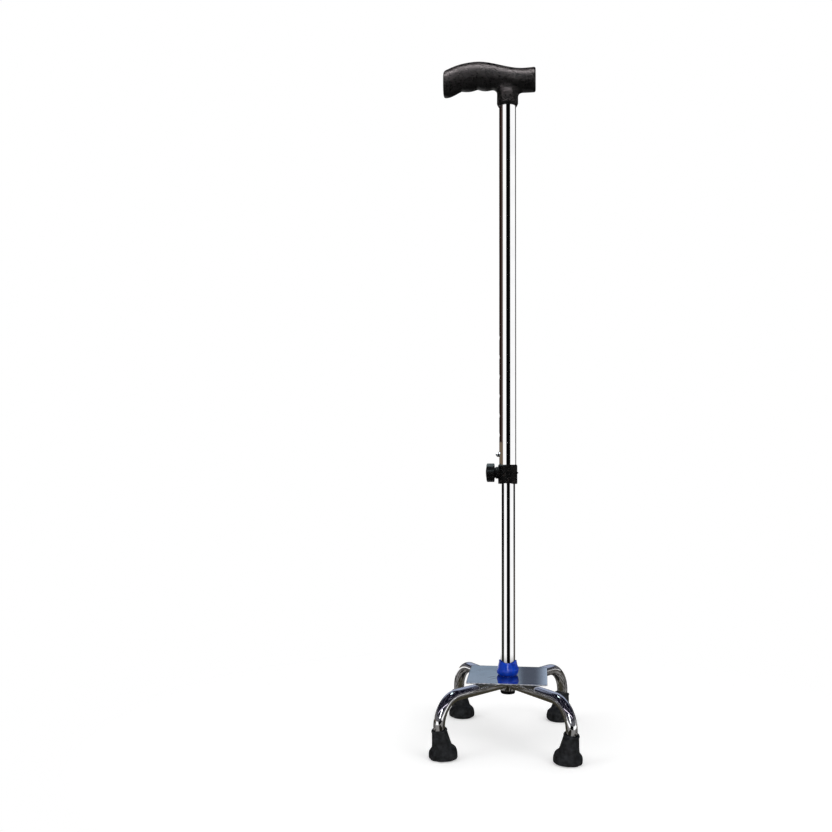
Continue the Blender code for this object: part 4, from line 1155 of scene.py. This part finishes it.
def tubeWall(work, radius, levels, holes, half, inward):
    # one skin of a tube with round holes; gives its end rings and its hole rings
    steps, size = shaft["steps"], shaft["window"]
    heights = [z for z, _ in levels]
    blocked = set()
    windows = []
    for side, z, holeRadius in holes:
        column = holeColumn(side)
        first = min(range(len(heights)), key=lambda k: abs(heights[k] - (z - half)))
        windows.append((column, first, z, holeRadius))
        for k in range(first, first + 2 * size):
            for i in range(column - size, column + size):
                blocked.add((k, i % steps))
    grid = {}

    def corner(k, i):
        key = (k, i % steps)
        if key not in grid:
            z, drawn = levels[k]
            reach = radius + drawn if inward else radius - drawn
            angle = 2 * pi * key[1] / steps
            grid[key] = work.verts.new((reach * cos(angle), reach * sin(angle), z))
        return grid[key]

    for k in range(len(levels) - 1):
        for i in range(steps):
            if (k, i) not in blocked:
                work.faces.new((corner(k, i), corner(k, i + 1), corner(k + 1, i + 1), corner(k + 1, i)))
    holeRings = []
    for column, first, z, holeRadius in windows:
        border = [(first, column - size + j) for j in range(2 * size)]
        border += [(first + j, column + size) for j in range(2 * size)]
        border += [(first + 2 * size, column + size - j) for j in range(2 * size)]
        border += [(first + 2 * size - j, column - size) for j in range(2 * size)]
        middle = 2 * pi * column / steps
        rings = [[corner(k, i) for k, i in border]]
        for share in holeShares:
            ring = []
            for k, i in border:
                across = radius * sin(2 * pi * (i - column) / steps)
                up = heights[k] - z
                long = hypot(across, up)
                reach = long + (holeRadius - long) * share
                y, dz = across / long * reach, up / long * reach
                angle = middle + asin(y / radius)
                ring.append(work.verts.new((radius * cos(angle), radius * sin(angle), z + dz)))
            rings.append(ring)
        for a, b in zip(rings, rings[1:]):
            joinRows(work, a, b)
        holeRings.append(rings[-1])
    ends = [[corner(k, i) for i in range(steps)] for k in (0, len(levels) - 1)]
    return ends + holeRings


def makeTube(name, node, holes, body):
    # holes are (side, height, radius)
    low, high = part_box(node)
    outer = high.x
    half = outer * sin(2 * pi * shaft["window"] / shaft["steps"])
    levels = tubeLevels(low.z, high.z, holes, half)
    work = bmesh.new()
    outerEdges = tubeWall(work, outer, levels, holes, half, False)
    innerEdges = tubeWall(work, outer - shaft["wall"], levels, holes, half, True)
    for a, b in zip(outerEdges, innerEdges):
        joinRows(work, a, b)
    dress(solidFrom(name, work), shaftChrome, body, [node])


def makeShaft():
    button, clamp, pin, screw = map(midHeight, ("snap_button", "clamp_nut", "base_pin", "handle_screw"))
    upperHoles = [("left", button + i * shaft["holePitch"], shaft["holeRadius"])
                  for i in range(shaft["holeCount"])]
    upperHoles += [("left", clamp, shaft["clampHoleRadius"]), ("right", clamp, shaft["rivetHoleRadius"]),
                   ("back", screw, shaft["screwHoleRadius"])]
    makeTube("outer_tube", "upper_tube", upperHoles, "upper")
    lowerHoles = [("left", button, shaft["holeRadius"])]
    lowerHoles += [(side, pin, shaft["pinHoleRadius"]) for side in ("front", "back")]
    makeTube("inner_tube", "lower_tube", lowerHoles, "base")


makeShaft()
print("shaft ready")


# Spring button

button = {"radius": 3.2 * mm, "flange": 4.3 * mm, "flangeThickness": 1.0 * mm, "edge": 0.2 * mm}


def makeButton():
    low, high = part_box("snap_button")
    start = -high.x
    step = start + button["flangeThickness"]
    r, flange = button["radius"], button["flange"]
    outline = softened([(0, start), (flange, start), (flange, step), (r, step)], button["edge"])
    outline += domed(r, -low.x, 6)
    made = turned("spring_button", outline, 64, turn=toMinusX, height=midHeight("snap_button"))
    dress(made, shadedButtonChrome, "button", ["snap_button"])


makeButton()


# Clamp collar, rivet, knob and cap

collar = {
    "wall": 1.2 * mm,
    "lip": 3.7 * mm,
    "lipInside": 1.5 * mm,      # how far the lip stands in from the bore
    "corner": 1.6 * mm,
    "grooveDepth": 0.4 * mm,
    "grooveHeight": 0.9 * mm,
    "bossRadius": 7.7 * mm,
    "bossEdge": 0.9 * mm,
    "nutFlats": 10.6 * mm,
    "nutDeep": 14.8 * mm,
    "screwHole": 3.3 * mm,
    "rivetHole": 1.3 * mm,
    "archRise": 1.2 * mm,
    "archSpan": 19.0 * mm,
    "voxel": 0.32 * mm,
    "rounds": 4,
}
spare = 2 * mm                  # how far a cutter goes past what it cuts


def hexCut(piece, flats, start, end, height):
    corner = flats / 2 / cos(pi / 6)
    turn = toMinusX @ Matrix.Rotation(pi / 6, 4, "Z")
    combine(piece, turned("hex", [(corner, start), (corner, end)], 6, turn=turn, height=height))


def collarForm(low, high, clamp):
    radius, face, c = high.x, -low.x, collar["corner"]
    outline = [(0, low.z), (radius, low.z), (radius, high.z - c), (radius - 0.35 * c, high.z - 0.45 * c),
               (radius - 0.62 * c, high.z), (0, high.z)]
    form = turned("clamp form", softened(outline, [0, 0.7 * mm, 0.6 * mm, 0.4 * mm, 0.3 * mm, 0]))
    boss = softened(rod(collar["bossRadius"], radius - collar["wall"] - 1 * mm, face), collar["bossEdge"])
    combine(form, turned("boss", boss, turn=toMinusX, height=clamp), "UNION")
    return remeshed(form, collar["voxel"], collar["rounds"])


def cutGroove(piece, radius, clamp):
    # a wedge round the middle that stops at the boss
    half = collar["grooveHeight"] / 2
    inner, outer = radius - collar["grooveDepth"], radius + 1 * mm
    ring = turned("groove", [(inner, clamp - 0.3 * half), (outer, clamp - 2.4 * half),
                             (outer, clamp + 2.4 * half), (inner, clamp + 0.3 * half)], closed=True)
    for v in ring.data.vertices:
        if v.co.x < -0.55 * radius:
            v.co.z = clamp + (v.co.z - clamp) * 0.05
    combine(piece, ring)


def makeCollar():
    low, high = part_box("clamp_collar")
    radius, face = high.x, -low.x
    bore = radius - collar["wall"]
    clamp = midHeight("clamp_nut")
    made = collarForm(low, high, clamp)
    # bore, pocket, holes, groove and arch are cut into the eased form
    lip, step = bore - collar["lipInside"], low.z + collar["lip"]
    hollow = [(0, low.z - spare), (lip, low.z - spare), (lip, step), (bore, step), (bore, high.z + spare),
              (0, high.z + spare)]
    combine(made, turned("hollow", hollow))
    hexCut(made, collar["nutFlats"], 0, collar["nutDeep"], clamp)
    drill(made, collar["screwHole"], 0, face + spare, 48, toMinusX, clamp)
    drill(made, collar["rivetHole"], 0, radius + spare, 32, toPlusX, clamp)
    cutGroove(made, radius, clamp)
    rise = collar["archRise"]
    reach = (collar["archSpan"] ** 2 / 4 + rise**2) / (2 * rise)
    arch = [(reach, -2 * radius), (reach, 2 * radius)]
    combine(made, turned("arch", arch, 480, turn=toPlusY, height=low.z + rise - reach))
    made.name = "moulded_collar"
    shade(made, 35)
    dress(made, collarPlastic, "upper", ["clamp_collar"])


def makeRivet():
    low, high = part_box("collar_rivet")
    r = (high.z - low.z) / 2
    outline = [(0, low.x), (r, low.x)] + domed(r, high.x, 10)
    made = turned("rivet_nub", outline, 48, turn=toPlusX, height=midHeight("collar_rivet"))
    dress(made, collarPlastic, "upper", ["collar_rivet"])


knob = {
    "radius": 12.1 * mm,
    "lobes": 8,
    "lobeDepth": 1.1 * mm,
    "hubRadius": 7.0 * mm,
    "hubLength": 1.1 * mm,
    "edge": 0.7 * mm,
    "chamferLength": 1.5 * mm,
    "chamferWidth": 2.7 * mm,
    "capWall": 0.9 * mm,
    "capDeep": 2.1 * mm,
    "capRise": 1.0 * mm,
    "headFlats": 10.6 * mm,
    "headSeat": 3.4 * mm,
    "screwHole": 3.0 * mm,
    "steps": 192,
}


def lobedRing(radius, place, depth):
    ring = ringAt(radius, place, knob["steps"])
    if depth == 0:
        return ring
    for i, p in enumerate(ring):
        wave = (1 - cos(knob["lobes"] * 2 * pi * i / knob["steps"])) / 2
        share = (radius - depth * wave**1.25) / radius
        p.x *= share
        p.y *= share
    return ring


def knobRows(hub, inner, outer):
    # (radius, place on the axis, depth of the lobes) from the hub's face to the cap's seat
    radius, hubRadius = knob["radius"], knob["hubRadius"]
    lobe, edge = knob["lobeDepth"], knob["edge"]
    wide, long = knob["chamferWidth"], knob["chamferLength"]
    rim = radius - wide
    rows = [(0, hub, 0), (hubRadius - 0.2 * mm, hub, 0), (hubRadius, hub + 0.2 * mm, 0),
            (hubRadius, inner - 0.1 * mm, 0), (hubRadius + 0.3 * mm, inner, 0),
            (radius - edge - lobe - 0.3 * mm, inner, 0)]
    for i in range(6):
        a = radians(18 * i)
        rows.append((radius - edge * (1 - sin(a)), inner + edge * (1 - cos(a)), lobe * sin(a)))
    start = outer - long
    rows += [(radius, inner + edge + (start - inner - edge) * i / 6, lobe) for i in range(1, 6)]
    for i in range(9):
        a = radians(90 * i / 8)
        rows.append((rim + wide * cos(a) ** 0.9, start + long * sin(a), lobe * cos(a)))
    seat, floor = rim - knob["capWall"], outer - knob["capDeep"]
    rows += [(seat + 0.15 * mm, outer, 0), (seat, outer - 0.15 * mm, 0), (seat, floor, 0), (0, floor, 0)]
    return rows


def makeKnob():
    low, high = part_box("clamp_knob")
    hub, outer = -high.x, -low.x
    inner = hub + knob["hubLength"]
    height = midHeight("clamp_knob")
    made = skinned("fluted_knob", [lobedRing(*row) for row in knobRows(hub, inner, outer)], sharp=38)
    made.data.transform(Matrix.Translation((0, 0, height)) @ toMinusX)
    bolt = inner + knob["headSeat"]
    hexCut(made, knob["headFlats"], bolt, outer + 1 * mm, height)
    drill(made, knob["screwHole"], 0, bolt + 1 * mm, 48, toMinusX, height)
    shade(made, 38)
    dress(made, knobPlastic, "knob", ["clamp_knob"])


def makeCap():
    low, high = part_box("knob_cap")
    radius = (high.z - low.z) / 2
    tip, rise = -low.x, knob["capRise"]
    outline = [(0, -high.x), (radius, -high.x), (radius, tip - rise - 0.2 * mm)]
    steps = 14
    for i in range(steps + 1):
        r = (radius - 0.15 * mm) * (1 - i / steps)
        outline.append((r, tip - rise * (r / radius) ** 2))
    made = turned("domed_cap", outline, turn=toMinusX, height=midHeight("knob_cap"), sharp=50)
    dress(made, knobPlastic, "knob", ["knob_cap"])


makeCollar()
makeRivet()
makeKnob()
makeCap()
print("clamp ready")


# Plate, sleeve, socket and plug

plate = {
    "edge": 0.55 * mm,
    "corner": 3.0 * mm,
    "hole": 11.1 * mm,
    "holeEdge": 0.3 * mm,
    "steps": 240,
    "sharp": 30,
    "cutFrom": 0.9,             # the edge's finish starts where the faces turn down this far
}


def squareRing(half, corner, height):
    # a rounded square, with its points at even angles
    ring = []
    for i in range(plate["steps"]):
        a = 2 * pi * i / plate["steps"]
        dx, dy = cos(a), sin(a)
        reach = half / max(abs(dx), abs(dy))
        x, y = abs(dx) * reach, abs(dy) * reach
        inner = half - corner
        if x > inner and y > inner:
            # along this direction, where it meets the corner's arc
            b = inner * (abs(dx) + abs(dy))
            c = 2 * inner**2 - corner**2
            t = b + sqrt(max(0.0, b * b - c))
            x, y = abs(dx) * t, abs(dy) * t
        ring.append(Vector((x * (1 if dx >= 0 else -1), y * (1 if dy >= 0 else -1), height)))
    return ring


def makePlate():
    low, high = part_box("base_plate")
    half, hole = high.x, plate["hole"]
    e, n, c = plate["edge"], plate["steps"], plate["corner"]
    rings = [ringAt(hole, low.z, n), ringAt(hole, high.z, n), ringAt(hole + plate["holeEdge"], high.z, n)]
    rings.append(squareRing(half - 2.4 * e, c - 0.5 * e, high.z))
    arc = [radians(22.5 * i) for i in range(5)]
    for level, side, angles in ((high.z, -1, arc), (low.z, 1, arc[::-1])):
        for a in angles:
            inset = e * (1 - sin(a))
            rings.append(squareRing(half - inset, c - inset * 0.5, level + side * e * (1 - cos(a))))
    rings.append(squareRing(half - 2.4 * e, c - 0.5 * e, low.z))
    rings.append(ringAt(hole + plate["holeEdge"], low.z, n))
    made = skinned("square_plate", rings, closed=True, sharp=plate["sharp"])
    dress(made, plateSteel, "base", ["base_plate"])
    made.data.materials.append(cutSteel)
    for face in made.data.polygons:
        outside = face.center.xy.length > half * 0.9
        face.material_index = int(outside and abs(face.normal.z) < plate["cutFrom"])


sleeve = {
    "topRadius": 11.5 * mm,
    "bellyRadius": 14.5 * mm,
    "footRadius": 11.9 * mm,
    "belly": 6.4 * mm,
    "bellyTilt": 1.9 * mm,      # the widest place lies higher on the right
    "height": 17.9 * mm,
    "edge": 0.45 * mm,
    "gap": 0.3 * mm,
    "bore": 11.1 * mm,
    "topBore": 9.8 * mm,
    "seat": 10.9 * mm,
    "scallop": 1.3 * mm,
    "uneven": 0.25 * mm,
    "steps": 128,
}


def sleeveOutline():
    top, belly, foot, bore = (sleeve[name] for name in ("topRadius", "bellyRadius", "footRadius", "bore"))
    height, bellyAt, seat = (sleeve[name] for name in ("height", "belly", "seat"))
    edge, gap, topBore = (sleeve[name] for name in ("edge", "gap", "topBore"))
    waist = top + 0.35 * (belly - top)
    waistAt = bellyAt + 0.55 * (height - bellyAt)
    outside = smoothPath([
        (foot, gap), ((foot + 2 * belly) / 3, bellyAt * 0.4), (belly, bellyAt),
        ((belly + waist) / 2, (bellyAt + waistAt) / 2), (waist, waistAt), (top, height - 1.2 * mm),
        (top, height - edge),
    ], 6)
    lip = [(top - edge * (1 - cos(a)), height - edge * (1 - sin(a))) for a in map(radians, (22, 45, 68, 90))]
    inside = [(topBore + 0.2 * mm, height), (topBore, height - 0.2 * mm), (topBore, seat + 1.3 * mm),
              (bore, seat), (bore, gap)]
    return outside + lip + inside


def makeSleeve():
    s = sleeve
    rings = []
    for r, z in sleeveOutline():
        ring = ringAt(r, z, s["steps"])
        share = max(0.0, z - s["seat"]) / (s["height"] - s["seat"])
        belly = max(0.0, 1 - abs(z - s["belly"]) / s["belly"])
        for p in ring:
            angle = atan2(p.y, p.x)
            # the rim falls to a soft V at front and back and rises at both sides
            p.z += s["scallop"] * (1 - 2 * abs(sin(angle)) ** 1.6) * share**2
            if r > s["bore"]:
                p.z += s["bellyTilt"] * cos(angle) * belly
            if r > s["bore"] and z > s["gap"]:
                drawn = s["uneven"] * (0.5 + 0.5 * sin(2 * angle + 3 * z / s["height"])) * (0.4 + 0.6 * belly)
                p.x -= cos(angle) * drawn
                p.y -= sin(angle) * drawn
        rings.append(ring)
    made = skinned("blue_sleeve", rings, closed=True, sharp=45)
    made.data.transform(Matrix.Translation((0, 0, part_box("base_plate")[1].z)))
    dress(made, sleevePlastic, "base", ["base_sleeve"])


socket = {"wall": 1.0 * mm, "edge": 0.25 * mm}


def makeSocket():
    low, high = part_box("base_socket")
    outer = high.x
    bore = outer - socket["wall"]
    corners = [(outer, low.z), (outer, high.z), (bore, high.z), (bore, low.z)]
    made = turned("welded_socket", softened(corners, socket["edge"], closed=True), closed=True)
    drill(made, shaft["pinHoleRadius"], -outer - spare, outer + spare, 32, toPlusY, midHeight("base_pin"))
    shade(made)
    dress(made, legChrome, "base", ["base_socket"])


plug = {
    "flange": 4.2 * mm,
    "flangeRadius": 9.4 * mm,
    "round": 5.0 * mm,
    "taper": 0.6 * mm,
    "gap": 0.3 * mm,
}


def makePlug():
    low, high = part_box("base_plug")
    wide = plug["flangeRadius"]
    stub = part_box("lower_tube")[1].x - shaft["wall"] - plug["gap"]
    top = low.z + plug["flange"] - plug["gap"]
    corners = [(0, low.z), (wide, low.z), (wide, top), (stub, top), (stub, high.z), (0, high.z)]
    outline = softened(corners, [0, plug["round"], 0.3 * mm, 0.2 * mm, plug["taper"], 0], 6)
    dress(turned("end_plug", outline), knobPlastic, "base", ["base_plug"])


makePlate()
makeSleeve()
makeSocket()
makePlug()
print("plate, sleeve and plug ready")


# Legs and feet

legs = {
    "radius": 7.15 * mm,
    "wall": 1.2 * mm,
    "bendRadius": 32.5 * mm,
    "lean": 13,
    "axis": 72.45 * mm,
    "end": 9.8 * mm,            # height of the tube's end over the floor, along its lean
    "steps": 64,
    "bendSteps": 48,
    "jointGap": 0.15 * mm,
    "socketGap": 11.1 * mm,
    "frontSpacing": 147.8 * mm,
    "backSpacing": 133.6 * mm,
    "depthSpacing": 190.6 * mm,
}
footSides = (("back_right", 1, 1), ("back_left", -1, 1), ("front_left", -1, -1), ("front_right", 1, -1))


def footPlaces():
    # name, distance from the shaft and heading, in turn round the shaft
    places = []
    for name, side, end in footSides:
        x = side * legs[name.split("_")[0] + "Spacing"] / 2
        y = end * legs["depthSpacing"] / 2
        places.append((name, Vector((x, y)).length, atan2(y, x) % (2 * pi)))
    return places


def legLine(reach, end):
    # (distance, height, slope) along the tube's middle, from the shaft to its end
    lean = radians(legs["lean"])
    bend = pi / 2 + lean
    r = legs["bendRadius"]
    run = (legs["axis"] - r * (1 - cos(bend))) / cos(lean)
    straight = reach + run * sin(lean) - r * sin(bend)
    line = [(legs["radius"] / 2, legs["axis"], 0.0)]
    for i in range(legs["bendSteps"] + 1):
        a = bend * i / legs["bendSteps"]
        line.append((straight + r * sin(a), legs["axis"] - r * (1 - cos(a)), a))
    line.append((reach + end * sin(lean), end * cos(lean), bend))
    return line


def lineRing(place, radius, steps):
    # a circle across the leg's line
    distance, height, slope = place
    ring = []
    for i in range(steps):
        a = 2 * pi * i / steps
        up = radius * cos(a)
        ring.append(Vector((distance + up * sin(slope), radius * sin(a), height + up * cos(slope))))
    return ring


def legZone(reach, lowAngle, highAngle):
    # the wedge between a leg's neighbours, so the legs meet without crossing
    inner = legs["socketGap"]
    outer = 1.5 * reach / min(cos(lowAngle / 2), cos(highAngle / 2))
    low = lowAngle + legs["jointGap"] / inner
    high = highAngle - legs["jointGap"] / inner
    count = 40
    outline = [(inner, low + (high - low) * i / count) for i in range(count + 1)]
    outline += [(outer, high + (low - high) * i / count) for i in range(count + 1)]
    heights = (-10 * mm, legs["axis"] + 20 * mm)
    return skinned("zone", [[Vector((r * cos(a), r * sin(a), z)) for r, a in outline] for z in heights])


def makeLegs():
    places = footPlaces()
    for index, (name, reach, heading) in enumerate(places):
        before = (heading - places[index - 1][2]) % (2 * pi) / 2
        after = (places[(index + 1) % len(places)][2] - heading) % (2 * pi) / 2
        line = legLine(reach, legs["end"])
        outer, bore = ([lineRing(place, radius, legs["steps"]) for place in line]
                       for radius in (legs["radius"], legs["radius"] - legs["wall"]))
        leg = skinned("bent_leg_" + name, outer + bore[::-1], closed=True)
        combine(leg, legZone(reach, -before, after), "INTERSECT")
        leg.data.transform(Matrix.Rotation(heading, 4, "Z"))
        shade(leg)
        dress(leg, legChrome, "base", ["leg_" + name])


foot = {
    "height": 37.8 * mm,        # along the lean
    "base": 17.7 * mm,
    "sole": 14.2 * mm,
    "rimWall": 1.8 * mm,
    "gap": 0.3 * mm,
    "soleThickness": 8.0 * mm,
    "relief": (8.5 * mm, 1.0 * mm),
    "lobes": 9,
    "lobeDepth": 0.8 * mm,
    "lobesAt": (0.09, 0.12),    # shares of the height: where the lobes are deepest, how far they reach
    "steps": 108,
    # shares: of the height, of the way from the rim's radius to the base's, and of the lean
    "flare": ((0.004, 0.000, 0.00), (0.035, 0.660, 0.15), (0.070, 0.930, 0.5), (0.110, 0.995, 0.8),
              (0.150, 1.000, 0.9), (0.200, 0.975, 1), (0.250, 0.930, 1), (0.285, 0.885, 1), (0.300, 0.850, 1),
              (0.312, 0.785, 1), (0.340, 0.690, 1), (0.375, 0.540, 1), (0.420, 0.400, 1), (0.480, 0.330, 1),
              (0.600, 0.225, 1), (0.740, 0.130, 1), (0.860, 0.050, 1), (0.915, 0.015, 1), (0.938, 0.055, 1),
              (0.962, 0.060, 1)),
    "soleTo": 0.075,            # below this share of the height the foot is never narrower than its sole
    "rimRound": 0.35,           # share of the rim's wall
}


def footRows():
    # (height, radius, share of the lean, share of the lobes) up the outside
    rimRadius = legs["radius"] + foot["gap"] + foot["rimWall"]
    base, tall, sole = foot["base"], foot["height"], foot["sole"]
    wide, deep = foot["relief"]
    rows = [(deep, 0, 0, 0), (deep, wide - deep, 0, 0), (0, wide, 0, 0), (0, sole - 0.2 * mm, 0, 0.3)]
    at, reach = foot["lobesAt"]
    for share, spread, leanShare in smoothPath(foot["flare"], 4):
        r = rimRadius + spread * (base - rimRadius)
        if share < foot["soleTo"]:
            r = max(r, sole + spread * (base - sole))
        rows.append((share * tall, r, leanShare, max(0.0, 1 - abs(share - at) / reach)))
    edge = foot["rimRound"] * foot["rimWall"]
    for a in map(radians, (25, 50, 75, 90)):
        rows.append((tall - edge * (1 - sin(a)), rimRadius + 0.03 * mm - edge * (1 - cos(a)), 1, 0))
    return rows


def footRing(row, reach):
    height, radius, leanShare, lobe = row
    lean = radians(legs["lean"])
    centre = Vector((height * sin(lean), 0, height * cos(lean)))
    turn = Matrix.Rotation(lean * leanShare, 3, "Y")
    ring = ringAt(radius, 0, foot["steps"])
    placed = []
    for i, p in enumerate(ring):
        if len(ring) > 1 and lobe:
            wave = (1 - cos(foot["lobes"] * 2 * pi * i / foot["steps"] + 1.0)) / 2
            p = p * (1 - foot["lobeDepth"] * lobe * wave**3 / radius)
        placed.append(centre + turn @ p + Vector((reach, 0, 0)))
    return placed


def makeFeet():
    rows = footRows()
    rimHeight = foot["height"] * cos(radians(legs["lean"]))
    bore = legs["radius"] + foot["gap"]
    for name, reach, heading in footPlaces():
        rings = [footRing(row, reach) for row in rows]
        for p in rings[0] + rings[1]:
            p.z = foot["relief"][1]
        # then down the leg's line to the seat of the tube, and the floor of the bore
        for place in legLine(reach, foot["soleThickness"]):
            if place[1] < rimHeight - 0.6 * mm:
                rings.append(lineRing(place, bore, foot["steps"]))
        rings.append([sum(rings[-1], Vector()) / foot["steps"]])
        made = skinned("rubber_foot_" + name, rings, sharp=50)
        made.data.transform(Matrix.Rotation(heading, 4, "Z"))
        dress(made, footRubber, "base", ["foot_" + name])


makeLegs()
makeFeet()
print("legs and feet ready")


# Hidden hardware keeps its solids and gets the finishes

hardware = {
    "guide_bush": nylon,
    "clamp_pad": nylon,
    "button_spring": zincSteel,
    "clamp_nut": zincSteel,
    "clamp_screw": zincSteel,
    "base_pin": zincSteel,
}
for name, _, _ in footSides:
    hardware["foot_washer_" + name] = zincSteel
for node, finish in hardware.items():
    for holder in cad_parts[node].material_slots:
        holder.material = finish
print("hardware dressed")

scene.view_settings.view_transform = "Standard"
